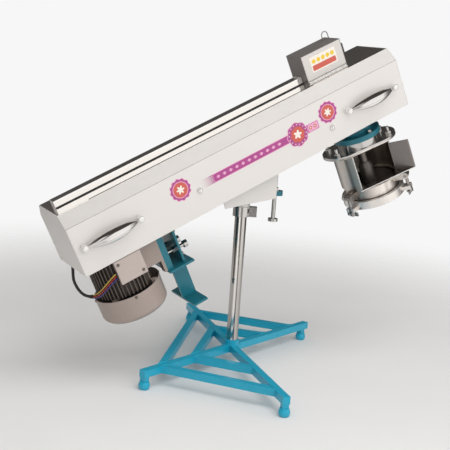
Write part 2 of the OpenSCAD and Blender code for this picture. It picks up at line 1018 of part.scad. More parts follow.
module wire_loop() {
  color(steel_bright)
    in_boom()
      translate([loop_s, loop_y, box_top])
        union() {
          for (side = [-1, 1])
            translate([side * loop_r, 0, 0])
              rod_z(loop_wire_d / 2, 0, loop_leg);
          translate([0, 0, loop_leg])
            rotate([90, 0, 0])
              rotate_extrude(angle = 180)
                translate([loop_r, 0])
                  circle(d = loop_wire_d);
        }
}

module cord_gland() {
  rear = box_front + box_w;
  color(rubber_black)
    in_boom()
      translate([gland_s, 0, gland_t])
        difference() {
          union() {
            rod_y(gland_d / 2, rear, rear + gland_l / 2);
            rod_y(gland_d / 2 - 3, rear, rear + gland_l);
          }
          rod_y(gland_d / 2 - 5, rear - 1, rear + gland_l + 1);
        }
}

// Motor

bearing_boss_r = 28;
bearing_boss_h = 6;
core_top = 25;
core_low = -95;
fan_r = 76;
fan_h = 18;
tab_w = 12;
tab_gap = 0.3;
tab_reach = sqrt(pow(cowl_r - cowl_wall - tab_gap, 2) - pow(tab_w / 2, 2));

// Half width of the sectors that hold no fins: the feet's side and the terminal box's side
feet_sector = 56;
terminal_sector = 28;

function fin_stands(a) = abs(a) > feet_sector && abs(a - 270) > terminal_sector && abs(a - 360) > feet_sector;

module fins_outline() {
  circle(r = frame_r);
  for (a = [0 : fin_step : 359])
    if (fin_stands(a))
      rotate(a)
        translate([frame_r - 2, -fin_t / 2])
          square([fin_h + 2, fin_t]);
}

// Foot of the motor on its front side: a gusset from the frame and a strip against the motor plate
module motor_foot() {
  strip = foot_face - motor_foot_t;
  difference() {
    union() {
      block([0, -gusset_y - motor_foot_t / 2, -frame_drop + 38], [strip, -gusset_y + motor_foot_t / 2, -5]);
      block([strip, -gusset_y - motor_foot_t / 2, -hanger_drop], [foot_face, -gusset_y + 18, -5]);
    }
    rod_z(frame_r + seat_gap, -hanger_drop - 1, 1);
  }
}

module motor_frame() {
  in_boom()
    translate([motor_s, 0, 0]) {
      color(motor_brown)
        difference() {
          union() {
            translate([0, 0, -frame_drop])
              linear_extrude(frame_drop + frame_rise)
                fins_outline();
            rod_z(frame_r - 4, frame_rise, frame_top);
            rod_z(bearing_boss_r, frame_top, frame_top + bearing_boss_h);
            for (a = [45 : 90 : 315])
              rotate([0, 0, a])
                block([frame_r - 20, -tab_w / 2, -frame_drop - 10],
                      [tab_reach, tab_w / 2, -frame_drop + 4]);
          }
          rod_z(core_r + 0.5, core_low - 3, core_top + 3);
          rod_z(motor_shaft_d / 2 + run_gap, -frame_drop - 20, frame_top + bearing_boss_h + 1);
        }
      color(motor_beige)
        for (m = [0, 1])
          mirror([0, m, 0])
            motor_foot();
    }
}

// Outline of the cowl's outer face, from the middle of its bottom up to its rim
function cowl_outline(r, low, round) = concat(
  [[0, low]],
  [for (a = [-90 : 15 : 0]) [r - round + round * cos(a), low + round + round * sin(a)]],
  [[r, -frame_drop]]
);

module fan_cowl() {
  low = -frame_drop - cowl_h;
  color(motor_beige)
    in_boom()
      translate([motor_s, 0, 0])
        difference() {
          rotate_extrude()
            polygon(concat(cowl_outline(cowl_r, low, cowl_round), [[0, -frame_drop]]));
          rotate_extrude()
            polygon(concat(cowl_outline(cowl_r - cowl_wall, low + cowl_wall, cowl_round - cowl_wall),
                           [[0, -frame_drop + 1]]));
          for (ring = [0 : 2])
            for (k = [0 : 6 * ring + 5])
              rotate([0, 0, k * 360 / (6 * ring + 6)])
                translate([18 + 17 * ring, 0, 0])
                  rod_z(5, low - 1, low + cowl_wall + 1);
        }
}

module terminal_box() {
  left = motor_s - terminal_left;
  right = left + terminal_w;
  back = terminal_front + lid_t;
  color(motor_beige)
    in_boom() {
      block([left, terminal_front, -terminal_drop], [right, back, -3]);
      difference() {
        block([left + 4, back, -terminal_drop + 4], [right - 4, 0, -3]);
        translate([motor_s, 0, 0])
          rod_z(frame_r + seat_gap, -frame_drop, 1);
      }
    }
}

shaft_top = belt_low + pulley_h / 2 + 6;

module motor_shaft() {
  color(iron_grey)
    in_boom()
      translate([motor_s, 0, 0])
        union() {
          rod_z(motor_shaft_d / 2, -frame_drop - 40, shaft_top);
          rod_z(core_r, core_low, core_top);
        }
}

module motor_fan() {
  top = -frame_drop - 14;
  color(rubber_black)
    in_boom()
      translate([motor_s, 0, 0])
        difference() {
          union() {
            rod_z(motor_shaft_d / 2 + 8, top - fan_h, top);
            rod_z(fan_r, top - 2, top);
            for (a = [0 : 45 : 315])
              rotate([0, 0, a])
                block([motor_shaft_d / 2 + 4, -1.5, top - fan_h], [fan_r, 1.5, top]);
          }
          rod_z(motor_shaft_d / 2 + run_gap, top - fan_h - 1, top + 1);
        }
}

// Motor hanger

module motor_plate() {
  s = motor_plate_s;
  color(frame_teal)
    in_boom()
      difference() {
        block([s, -hanger_w / 2, -hanger_drop], [s + channel_d, hanger_w / 2, plate_low]);
        block([s + hanger_t, -hanger_w / 2 + hanger_t, -hanger_drop - 1],
              [s + channel_d + 1, hanger_w / 2 - hanger_t, plate_low + 1]);
      }
}

module at_tension_bolts() {
  for (side = [-1, 1])
    translate([0, side * tension_y, -tension_drop])
      children();
}

module hanger_plate() {
  color(frame_teal)
    in_boom()
      difference() {
        block([hanger_s, -hanger_w / 2, -hanger_drop], [hanger_s + hanger_t, hanger_w / 2, plate_low]);
        at_tension_bolts()
          rod_x(tension_d / 2 + seat_gap, hanger_s - 1, hanger_s + hanger_t + 1);
      }
}

module tension_bolts() {
  end = hanger_s + hanger_t + 34;
  nut = tension_d * 1.6 / sqrt(3);
  color(steel_bright)
    in_boom()
      at_tension_bolts()
        union() {
          rod_x(tension_d / 2, motor_plate_s + hanger_t, end);
          rod_x(tension_d, end - 12, end);
          translate([hanger_s - 8, 0, 0])
            rotate([0, 90, 0])
              cylinder(r = nut, h = 8, $fn = 6);
        }
}

module rest_leg() {
  foot_top = shelf_low - rest_arm_h;
  color(frame_teal)
    in_boom() {
      block([motor_plate_s, -rest_w / 2, shelf_low], [hanger_s + 26, rest_w / 2, -hanger_drop]);
      block([rest_s, -rest_arm_t / 2, foot_top], [rest_s + rest_arm_w, rest_arm_t / 2, shelf_low]);
      block([rest_s, -rest_w / 2, foot_top - hanger_t], [rest_s + rest_arm_w, rest_w / 2, foot_top]);
    }
}

// Motor lead: its route and those of its three cores, in the boom's frame
lead_d = 8;
core_d = 3;
lead_route = [
  [-534, 22, 14], [-538, 22, 0], [-545, 21, -18], [-552, 20, -38], [-553, 18, -56], [-551, 15, -72],
  [-546, 11, -85], [-538, 6, -94], [-529, 1, -99]
];
yellow_route = [
  [-527, 0, -98], [-524, -8, -94], [-518, -26, -87], [-511, -44, -77], [-502, -60, -65],
  [-490, -74, -52], [-478, -84, -42], [-465, -88, -36]
];
red_route = [
  [-529, -3, -99], [-526, -12, -97], [-520, -30, -91], [-513, -48, -82], [-504, -64, -70],
  [-492, -77, -58], [-479, -85, -48], [-465, -87, -43]
];
blue_route = [
  [-529, 1, -102], [-526, -10, -102], [-521, -28, -97], [-515, -47, -89], [-507, -64, -77],
  [-495, -78, -65], [-481, -86, -55], [-465, -86, -50]
];

// A point on the smooth curve through a route, between its points i and i + 1
function curve_point(route, i, u) = let (
  last = len(route) - 1,
  p0 = route[max(i - 1, 0)],
  p1 = route[i],
  p2 = route[min(i + 1, last)],
  p3 = route[min(i + 2, last)],
  bend = 2 * p0 - 5 * p1 + 4 * p2 - p3,
  twist = 3 * p1 - p0 - 3 * p2 + p3
) 0.5 * (2 * p1 + (p2 - p0) * u + bend * u * u + twist * u * u * u);

function curve(route, steps) = [for (i = [0 : (len(route) - 1) * steps])
  let (seg = min(floor(i / steps), len(route) - 2)) curve_point(route, seg, i / steps - seg)];

function unit(v) = v / norm(v);

// Rings of a round tube along points, square to the curve, with their first side set by a fixed direction
function cord_rings(points, d, sides, aside) = [for (i = [0 : len(points) - 1])
  let (
    ahead = unit(points[min(i + 1, len(points) - 1)] - points[max(i - 1, 0)]),
    right = unit(cross(ahead, aside)),
    over = cross(right, ahead)
  )
  each [for (k = [0 : sides - 1])
    points[i] + d / 2 * (right * cos(360 * k / sides) + over * sin(360 * k / sides))]];

module cord(route, d, sides, steps, aside) {
  points = curve(route, steps);
  polyhedron(cord_rings(points, d, sides, aside), tube_faces(len(points), sides), convexity = 6);
}

module motor_lead() {
  color(rubber_black)
    in_boom()
      cord(lead_route, lead_d, 10, 3, [0, 1, 0]);
}

module core_wires() {
  in_boom() {
    color([0.85, 0.75, 0.25])
      cord(yellow_route, core_d, 8, 2, [1, 0, -1]);
    color([0.65, 0.12, 0.10])
      cord(red_route, core_d, 8, 2, [1, 0, -1]);
    color([0.25, 0.22, 0.55])
      cord(blue_route, core_d, 8, 2, [1, 0, -1]);
  }
}

// Drive

// A belt pulley about Z: hub, web and a rim with two flanges
module pulley(root, middle, bore) {
  hub = bore + 12;
  rim = root - 8;
  low = middle - pulley_h / 2;
  high = middle + pulley_h / 2;
  difference() {
    rod_z(root + pulley_flange, low, high);
    difference() {
      rod_z(root + pulley_flange + 1, low + pulley_flange_t, high - pulley_flange_t);
      rod_z(root, low, high);
    }
    if (rim > hub + 6)
      for (z = [low - 1, middle + 4])
        difference() {
          rod_z(rim, z, z + pulley_h / 2 - 3);
          rod_z(hub, z, z + pulley_h);
        }
    rod_z(bore + run_gap, low - 2, high + 2);
  }
}

module motor_pulley() {
  color(iron_grey)
    in_boom()
      translate([motor_s, 0, 0])
        pulley(motor_root, belt_low, motor_shaft_d / 2);
}

// Flange and boss of the countershaft's bearing, and the room under the pulley above it
counter_flange_r = 45;
counter_flange_t = 9;
counter_boss_r = 30;
pulley_gap = 2;

module counter_bearing() {
  color(iron_grey)
    in_boom()
      translate([counter_s, 0, 0])
        difference() {
          union() {
            rod_z(counter_flange_r, plate_top, plate_top + counter_flange_t);
            rod_z(counter_boss_r, plate_top, belt_low - pulley_h / 2 - pulley_gap);
          }
          rod_z(counter_d / 2 + run_gap, plate_top - 1, belt_low);
        }
}

module countershaft() {
  color(iron_grey)
    in_boom()
      translate([counter_s, 0, 0]) {
        rod_z(counter_d / 2, plate_top + body_gap, belt_high + pulley_h / 2 + 6);
        pulley(large_root, belt_low, counter_d / 2);
        pulley(small_root, belt_high, counter_d / 2);
      }
}

// A flat belt round two pulleys, a little clear of their roots
module belt(s_a, root_a, s_b, root_b, middle) {
  slack = 2 * body_gap;
  translate([0, 0, middle - belt_w / 2])
    linear_extrude(belt_w)
      difference() {
        hull() {
          translate([s_a, 0]) circle(r = root_a + slack + belt_t, $fn = 48);
          translate([s_b, 0]) circle(r = root_b + slack + belt_t, $fn = 48);
        }
        hull() {
          translate([s_a, 0]) circle(r = root_a + slack, $fn = 48);
          translate([s_b, 0]) circle(r = root_b + slack, $fn = 48);
        }
      }
}

module drive_belts() {
  color(rubber_black)
    in_boom() {
      belt(motor_s, motor_root, counter_s, large_root, belt_low);
      belt(counter_s, small_root, head_s, large_root, belt_high);
    }
}

// Head

bearing_r = 26;
bearing_h = 12;
spigot_top = plate_top + 24;
housing_low = -housing_drop - housing_t;
shaft_clear = 2;

module bearing_housing() {
  color(frame_teal)
    in_head()
      difference() {
        union() {
          rod_z(spigot_r, plate_low, spigot_top);
          rod_z(neck_r, -housing_drop, plate_low);
          rod_z(housing_r, housing_low, -housing_drop);
        }
        rod_z(rotor_d / 2 + shaft_clear, housing_low - 1, spigot_top + 1);
        rod_z(bearing_r + seat_gap, spigot_top - bearing_h, spigot_top + 1);
        rod_z(bearing_r + seat_gap, housing_low - 1, housing_low + bearing_h);
      }
}

module head_bearings() {
  color(steel_bright)
    in_head()
      for (low = [housing_low, spigot_top - bearing_h])
        difference() {
          rod_z(bearing_r, low, low + bearing_h);
          rod_z(rotor_d / 2 + run_gap, low - 1, low + bearing_h + 1);
        }
}

hub_top = window_low + 40;
hub_low = drum_low + 4;

module rotor_shaft() {
  color(steel_bright)
    in_head()
      rod_z(rotor_d / 2, hub_low, belt_high + pulley_h / 2 + 6);
}

module head_pulley() {
  color(iron_grey)
    in_head()
      pulley(large_root, belt_high, rotor_d / 2);
}

flight_steps = 40;
flight_turn = 450;

// One station of the flight: inner and outer edge, below and above
function flight_station(i) = let (
  a = flight_turn * i / flight_steps,
  z = hub_low + 2 + (screw_rise - flight_t) * i / flight_steps,
  inner = hub_r + 2 * seat_gap,
  outer = barrel_r - drum_wall - 3
) [
  [inner * cos(a), inner * sin(a), z],
  [inner * cos(a), inner * sin(a), z + flight_t],
  [outer * cos(a), outer * sin(a), z + flight_t],
  [outer * cos(a), outer * sin(a), z]
];

module feed_screw() {
  points = [for (i = [0 : flight_steps]) each flight_station(i)];
  color(steel_bright)
    in_head() {
      difference() {
        union() {
          rod_z(hub_r, hub_low, hub_top);
          translate([0, 0, hub_top])
            cylinder(r1 = hub_r, r2 = rotor_d / 2 + 3, h = 14);
        }
        rod_z(rotor_d / 2 + run_gap, hub_low - 1, hub_top + 15);
      }
      polyhedron(points, tube_faces(flight_steps + 1, 4), convexity = 8);
    }
}

// Outline of the oblong flange: two round ends joined by straight sides
module oblong_outline() {
  tuck = 0.99;
  square([2 * ear_reach, 2 * tuck * ear_r], center = true);
  for (side = [-1, 1])
    translate([side * ear_reach, 0])
      circle(r = ear_r);
}

// Outline of the drum's top: oblong in front over the window, round behind
module drum_top_outline() {
  oblong_outline();
  intersection() {
    circle(r = drum_r);
    translate([-drum_r, -ear_r / 2])
      square([2 * drum_r, 2 * drum_r]);
  }
}

// A plate of the outline given, with the shaft's hole and the studs' holes
module eared_plate(low, high) {
  difference() {
    translate([0, 0, low])
      linear_extrude(high - low)
        children();
    rod_z(rotor_d / 2 + shaft_clear, low - 1, high + 1);
    at_studs()
      rod_z(stud_d / 2 + seat_gap, low - 1, high + 1);
  }
}

module at_studs() {
  for (x = [-stud_x, stud_x])
    for (y = [-stud_y, stud_y])
      translate([x, y, 0])
        children();
}

module eared_flange() {
  color(steel_bright)
    in_head()
      union() {
        eared_plate(flange_low, flange_top)
          oblong_outline();
        difference() {
          rod_z(boss_r, flange_top, flange_top + boss_h);
          rod_z(rotor_d / 2 + shaft_clear, flange_top - 1, flange_top + boss_h + 1);
        }
      }
}

module ear_studs() {
  color(steel_bright)
    in_head()
      at_studs()
        union() {
          rod_z(stud_d / 2, window_top, flange_top + 22);
          hex_z(stud_d * 1.6, flange_top, flange_top + stud_d * 0.8);
        }
}

// Lugs for one swing bolt, in its frame: two plates beside its eye
module clevis() {
  in_y = eye_t / 2 + body_gap;
  root = clamp_r - barrel_r + drum_wall / 2;
  for (m = [0, 1])
    mirror([0, m, 0])
      difference() {
        across(in_y, in_y + clevis_t) {
          translate([-root, -eye_d * 0.45])
            square([root, eye_d * 0.9]);
          circle(d = eye_d);
        }
        rod_y(swing_d / 2 + run_gap, 0, eye_t + clevis_t + 1);
      }
}

// Turns of the three swing bolts against the right one
clamp_turns = [0, 120, 240];

// Drum with its window, stepped in to the barrel under it
module feed_drum() {
  reach = 2 * drum_r;
  step_low = window_low - drum_wall;
  color(steel_bright)
    union() {
      in_head() {
        eared_plate(window_top, flange_low)
          drum_top_outline();
        difference() {
          union() {
            rod_z(drum_r, step_low, window_top);
            rod_z(barrel_r, drum_low, window_low - 1);
          }
          rod_z(drum_r - drum_wall, window_low, window_top + 1);
          rod_z(barrel_r - drum_wall, drum_low - 1, window_low + 1);
          translate([0, 0, window_low])
            linear_extrude(window_h)
              polygon([[0, 0], polar(reach, window_left), [0, -2 * reach], polar(reach, window_right)]);
        }
      }
      for (turn = clamp_turns)
        in_clamp(turn)
          clevis();
    }
}

// Tray behind the lip, with the guide plate that leads to the window's right edge
module feed_tray() {
  back = lip_y - tray_d;
  left = (lip_y - 1) / tan(window_left);
  back_left = (back - 1) / tan(window_left);
  back_right = -(back - 1) / tan(window_right);
  guide_in = polar(drum_r + 1, window_right);
  color(steel_bright)
    in_head()
      translate([0, 0, window_low])
        union() {
          linear_extrude(tray_t)
            polygon([[-left, -lip_y], [tray_right, -lip_y], [back_right, -back], [-back_left, -back]]);
          linear_extrude(guide_h)
            polygon([[tray_right, -lip_y], guide_in,
                     guide_in - [tray_t, 0], [tray_right - tray_t - 1, -lip_y]]);
        }
}

// Holes of the die: rows set like a honeycomb
die_reach = barrel_r - ring_lip - die_hole_d;

module die_plate() {
  rows = floor(die_reach / (die_pitch * sin(60)));
  cols = ceil(die_reach / die_pitch);
  color(steel_bright)
    in_head()
      difference() {
        rod_z(barrel_r - 1, die_low, drum_low);
        for (j = [-rows : rows])
          for (i = [-cols : cols])
            let (x = (i + abs(j % 2) / 2) * die_pitch, y = j * die_pitch * sin(60))
              if (norm([x, y]) < die_reach)
                translate([x, y, 0])
                  rod_z(die_hole_d / 2, die_low - 1, drum_low + 1);
      }
}

// Ring that holds the die plate on its lip and fits round the barrel's end
module die_ring() {
  fork_w = eye_t + 12;
  slot = swing_d / 2 + 0.5;
  bore = barrel_r + seat_gap;
  color(steel_bright)
    difference() {
      union() {
        in_head()
          rod_z(ring_r, ring_low, ring_top);
        for (turn = clamp_turns)
          in_clamp(turn)
            block([(ring_r + bore) / 2 - clamp_r, -fork_w / 2, -fork_drop],
                  [8, fork_w / 2, -fork_drop + fork_t]);
      }
      in_head() {
        rod_z(barrel_r - ring_lip, ring_low - 1, ring_top + 1);
        rod_z(bore, die_low, ring_top + 1);
      }
      for (turn = clamp_turns)
        in_clamp(turn) {
          block([0, -slot, -fork_drop - 1], [20, slot, -fork_drop + fork_t + 1]);
          rod_z(slot, -fork_drop - 1, -fork_drop + fork_t + 1);
        }
    }
}

// Eye bolt with its pin and its wing nut
module swing_bolt(turn) {
  nut_top = -fork_drop - 2 * body_gap;
  color(steel_bright)
    in_clamp(turn)
      union() {
        rod_y(eye_d / 2, -eye_t / 2, eye_t / 2);
        rod_y(swing_d / 2, -eye_t / 2 - clevis_t, eye_t / 2 + clevis_t);
        rod_z(swing_d / 2, nut_top - nut_h - 4, -eye_d * 0.35);
        rod_z(swing_d, nut_top - nut_h, nut_top);
        for (m = [0, 1])
          mirror([0, m, 0])
            block([-2, swing_d * 0.7, nut_top - nut_h - 3], [2, swing_d * 2, nut_top - 2]);
      }
}

module left_swing_bolt() {
  swing_bolt(clamp_turns[2]);
}

module right_swing_bolt() {
  swing_bolt(clamp_turns[0]);
}

module rear_swing_bolt() {
  swing_bolt(clamp_turns[1]);
}

placed() side_bars();
placed() depth_bars();
placed() braces();
placed() leg_posts();
placed() feet();
placed() pole_socket();
placed() pole();
placed() clamp_collar();
placed() collar_bolt();
placed() yoke_plates();
placed() yoke_sleeve();
placed() stop_lug();
placed() stop_screw();
placed() front_cover();
placed() rear_cover();
placed() top_cover();
placed() end_caps();
placed() side_rails();
placed() cross_plates();
placed() pivot_bosses();
placed() pivot_bolt();
placed() tilt_stop_rod();
placed() cover_screws();
placed() front_handles();
placed() rear_handles();
placed() cable_duct();
placed() control_box();
placed() control_panel();
placed() wire_loop();
placed() cord_gland();
placed() switch_knob();
placed() motor_frame();
placed() fan_cowl();
placed() terminal_box();
placed() motor_shaft();
placed() motor_fan();
placed() motor_pulley();
placed() motor_plate();
placed() hanger_plate();
placed() tension_bolts();
placed() rest_leg();
placed() motor_lead();
placed() core_wires();
placed() counter_bearing();
placed() countershaft();
placed() drive_belts();
placed() bearing_housing();
placed() head_bearings();
placed() rotor_shaft();
placed() head_pulley();
placed() feed_screw();
placed() eared_flange();
placed() ear_studs();
placed() feed_drum();
placed() feed_tray();
placed() die_plate();
placed() die_ring();
placed() left_swing_bolt();
placed() right_swing_bolt();
placed() rear_swing_bolt();
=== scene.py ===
import math

import bmesh
import bpy
from mathutils import Matrix, Vector


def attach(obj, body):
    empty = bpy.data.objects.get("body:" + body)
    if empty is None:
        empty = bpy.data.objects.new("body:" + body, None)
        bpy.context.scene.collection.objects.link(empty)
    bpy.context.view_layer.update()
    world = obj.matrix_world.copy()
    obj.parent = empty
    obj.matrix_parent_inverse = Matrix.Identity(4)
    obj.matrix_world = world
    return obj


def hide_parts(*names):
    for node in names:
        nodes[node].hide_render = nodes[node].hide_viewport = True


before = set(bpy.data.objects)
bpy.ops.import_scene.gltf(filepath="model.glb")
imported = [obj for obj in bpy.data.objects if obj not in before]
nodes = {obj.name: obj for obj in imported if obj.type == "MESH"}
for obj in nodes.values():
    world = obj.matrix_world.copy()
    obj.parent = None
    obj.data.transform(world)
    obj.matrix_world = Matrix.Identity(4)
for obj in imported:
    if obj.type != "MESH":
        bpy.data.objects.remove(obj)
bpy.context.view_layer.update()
scene = bpy.context.scene

# Sizes are in millimetres, as in the part's source, and metres() gives the scene's unit.
# The boom's frame: s along it, y across it, t up from its bottom face.

FULL_TURN = 2 * math.pi
TILT = math.radians(25.8)
# The pole's axis, seen from the origin under the middle of the machine's box
POLE = Vector((10.881, 2.019, 0))
PIVOT = POLE + Vector((0, 0, 566))
PIVOT_S, PIVOT_T = 10.6, 22.0
AXIS_S = Vector((math.cos(TILT), 0, math.sin(TILT)))
AXIS_Y = Vector((0, 1, 0))
AXIS_T = Vector((-math.sin(TILT), 0, math.cos(TILT)))
FRONTWARDS = (0, -1, 0)
BOOM_FACE, BOOM_TOP, PANEL_FACE = 101.5, 171.0, 46.0
MOTOR_S = -430
HEAD_S, HEAD_YAW = 385.0, math.radians(-10.4)


def metres(size):
    return size / 1000


def boom(s, y, t):
    return metres(PIVOT + AXIS_S * (s - PIVOT_S) + AXIS_Y * y + AXIS_T * (t - PIVOT_T))


def head(x, y, t):
    """A place in the extruding head's frame: x and y from its axis, turned by its yaw."""
    c, s = math.cos(HEAD_YAW), math.sin(HEAD_YAW)
    return boom(HEAD_S + x * c - y * s, x * s + y * c, t)


def angles(count):
    return [FULL_TURN * i / count for i in range(count)]


# Materials

def set_inputs(tree, node, inputs):
    """inputs: a socket's name or number, and a value or another node's socket for it."""
    for socket, value in inputs.items():
        if isinstance(value, bpy.types.NodeSocket):
            tree.links.new(value, node.inputs[socket])
        else:
            node.inputs[socket].default_value = value


def add_node(tree, kind, inputs=None, **settings):
    node = tree.nodes.new(f"ShaderNode{kind}")
    for key, value in settings.items():
        setattr(node, key, value)
    set_inputs(tree, node, inputs or {})
    return node


def new_material(name, base, rough, metallic=0.0, vary=0.06, scale=60, stretch=(1, 1, 1), bump=0.02,
                 rough_vary=0.08, coat=0.0, edge=0.0):
    """A fine grain varies colour, roughness and relief, and a broad one the colour as well.

    stretch: the fine grain's scale along, across and up the boom; edge: radius of soft edges in metres.
    """
    material = bpy.data.materials.new(name)
    material.use_nodes = True
    t = material.node_tree
    coord = add_node(t, "TexCoord").outputs["Object"]
    turned = add_node(t, "Mapping", {"Vector": coord, "Rotation": (0, TILT, 0), "Scale": stretch})
    fine = add_node(t, "TexNoise", {"Vector": turned.outputs["Vector"], "Scale": scale, "Detail": 5,
                                    "Roughness": 0.6}).outputs["Fac"]
    broad = add_node(t, "TexNoise", {"Vector": coord, "Scale": 7, "Detail": 3}).outputs["Fac"]
    both = add_node(t, "Math", {0: fine, 1: broad}, operation="ADD")
    share = add_node(t, "MapRange", {"Value": both.outputs[0], "From Min": 0.6, "From Max": 1.4})
    low = [max(0, c * (1 - vary)) for c in base]
    high = [min(1, c * (1 + vary)) for c in base]
    tone = add_node(t, "Mix", {"Factor": share.outputs["Result"], "A": (*low, 1), "B": (*high, 1)},
                    data_type="RGBA")
    gloss = add_node(t, "MapRange", {"Value": fine, "From Min": 0.3, "From Max": 0.7,
                                     "To Min": max(0.02, rough - rough_vary),
                                     "To Max": min(1, rough + rough_vary)})
    relief = add_node(t, "Bump", {"Height": fine, "Strength": bump, "Distance": 0.002})
    if edge:
        soft = add_node(t, "Bevel", {"Radius": edge}, samples=4)
        t.links.new(soft.outputs["Normal"], relief.inputs["Normal"])
    set_inputs(t, t.nodes["Principled BSDF"], {
        "Base Color": tone.outputs["Result"], "Roughness": gloss.outputs["Result"],
        "Normal": relief.outputs["Normal"], "Metallic": metallic, "Coat Weight": coat, "Coat Roughness": 0.12})
    return material


# Grain of each kind of surface
SHEET = dict(scale=90, stretch=(0.05, 1, 1))
DRAWN = dict(scale=140, stretch=(1, 1, 0.2))
TURNED = dict(scale=120, stretch=(1, 1, 6))
CASTING = dict(scale=120)
ENAMEL = dict(scale=30, coat=0.2)
SHEATH = dict(vary=0.1, scale=200)

LOOK = {
    "satin": new_material("satin_sheet", (0.76, 0.735, 0.71), 0.42, metallic=0.3, vary=0.015, bump=0.004,
                          edge=0.0012, **SHEET),
    "brushed": new_material("brushed_sheet", (0.68, 0.645, 0.62), 0.3, metallic=0.45, vary=0.03, bump=0.004,
                            rough_vary=0.05, edge=0.001, **SHEET),
    "shell": new_material("box_sheet", (0.28, 0.258, 0.247), 0.42, metallic=0.5, vary=0.03, bump=0.003,
                          rough_vary=0.04, edge=0.001, **SHEET),
    "dark": new_material("oiled_steel", (0.20, 0.18, 0.165), 0.42, metallic=0.9, vary=0.1, bump=0.005,
                         rough_vary=0.06, **TURNED),
    "top": new_material("top_sheet", (0.92, 0.885, 0.855), 0.13, metallic=1.0, vary=0.04, bump=0.002,
                        rough_vary=0.03, **SHEET),
    "duct": new_material("duct_sheet", (0.97, 0.96, 0.945), 0.16, metallic=1.0, vary=0.02, bump=0.002,
                         rough_vary=0.04, edge=0.001, **SHEET),
    "polished": new_material("polished_steel", (0.60, 0.585, 0.57), 0.15, metallic=1.0, vary=0.04, bump=0.003,
                             rough_vary=0.04, edge=0.0008, **DRAWN),
    "chrome": new_material("handle_chrome", (0.78, 0.765, 0.75), 0.1, metallic=1.0, vary=0.03, bump=0.002,
                           rough_vary=0.03, **DRAWN),
    "bright": new_material("bright_caps", (0.86, 0.85, 0.83), 0.28, metallic=0.6, vary=0.03, bump=0.002,
                           rough_vary=0.04, edge=0.0006, scale=140),
    "cast": new_material("turned_steel", (0.96, 0.91, 0.87), 0.29, metallic=1.0, vary=0.03, bump=0.002,
                         rough_vary=0.02, edge=0.001, **TURNED),
    "clamp": new_material("clamp_steel", (0.38, 0.355, 0.34), 0.18, metallic=1.0, vary=0.04, bump=0.003,
                          rough_vary=0.04, edge=0.0008, **DRAWN),
    "ring": new_material("turned_ring", (0.84, 0.80, 0.765), 0.24, metallic=0.85, vary=0.03, bump=0.002,
                         rough_vary=0.02, edge=0.001, **TURNED),
    "tray": new_material("tray_steel", (0.27, 0.24, 0.228), 0.34, metallic=1.0, vary=0.03, bump=0.002,
                         rough_vary=0.03, edge=0.001, **TURNED),
    "pole": new_material("drawn_tube", (0.92, 0.905, 0.89), 0.1, metallic=1.0, vary=0.1, bump=0.003,
                         rough_vary=0.04, scale=190, stretch=(1, 1, 0.01)),
    "base": new_material("base_enamel", (0.008, 0.36, 0.53), 0.34, vary=0.05, bump=0.003, rough_vary=0.05,
                         **ENAMEL),
    "teal": new_material("bracket_enamel", (0.009, 0.155, 0.205), 0.36, vary=0.1, bump=0.004, rough_vary=0.06,
                         **ENAMEL),
    "lid": new_material("lid_paint", (0.50, 0.43, 0.395), 0.4, vary=0.04, bump=0.01, coat=0.1, edge=0.001,
                        **CASTING),
    "motor": new_material("motor_paint", (0.36, 0.296, 0.265), 0.42, vary=0.05, bump=0.015, coat=0.1,
                          edge=0.001, **CASTING),
    "iron": new_material("motor_casting", (0.055, 0.043, 0.036), 0.5, metallic=0.1, vary=0.2, rough_vary=0.1,
                         **CASTING),
    "machined": new_material("machined_iron", (0.30, 0.30, 0.305), 0.38, metallic=0.9, vary=0.1, bump=0.01,
                             **TURNED),
    "plastic": new_material("black_plastic", (0.025, 0.025, 0.026), 0.42, vary=0.25, scale=220),
    "rubber": new_material("black_rubber", (0.022, 0.021, 0.02), 0.6, vary=0.3, scale=240, bump=0.03),
    "yellow": new_material("yellow_sheath", (0.62, 0.44, 0.07), 0.4, **SHEATH),
    "red": new_material("red_sheath", (0.42, 0.03, 0.025), 0.4, **SHEATH),
    "blue": new_material("blue_sheath", (0.07, 0.05, 0.25), 0.4, **SHEATH),
}


def recolour(material, factor, colour, blend_type="MIX"):
    """Blends a colour, given as a value or a socket, into the material's base colour."""
    t = material.node_tree
    base = t.nodes["Principled BSDF"].inputs["Base Color"]
    mix = add_node(t, "Mix", {"Factor": factor, "A": base.links[0].from_socket, "B": colour},
                   data_type="RGBA", blend_type=blend_type)
    t.links.new(mix.outputs["Result"], base)


# The first colour is a painted highlight on the rib tips; the second is the cowl's paint on the motor's feet
RIB_TIP_HIGHLIGHT, FOOT_COLOUR = (0.12, 0.095, 0.08, 1), (0.36, 0.30, 0.27, 1)
# Where the colours start, in metres: the ribs' painted highlight from the motor's axis, the feet's paint along
# and across the boom
RIB_REACH, FOOT_ALONG, FOOT_ACROSS = 0.0808, 0.052, 0.05


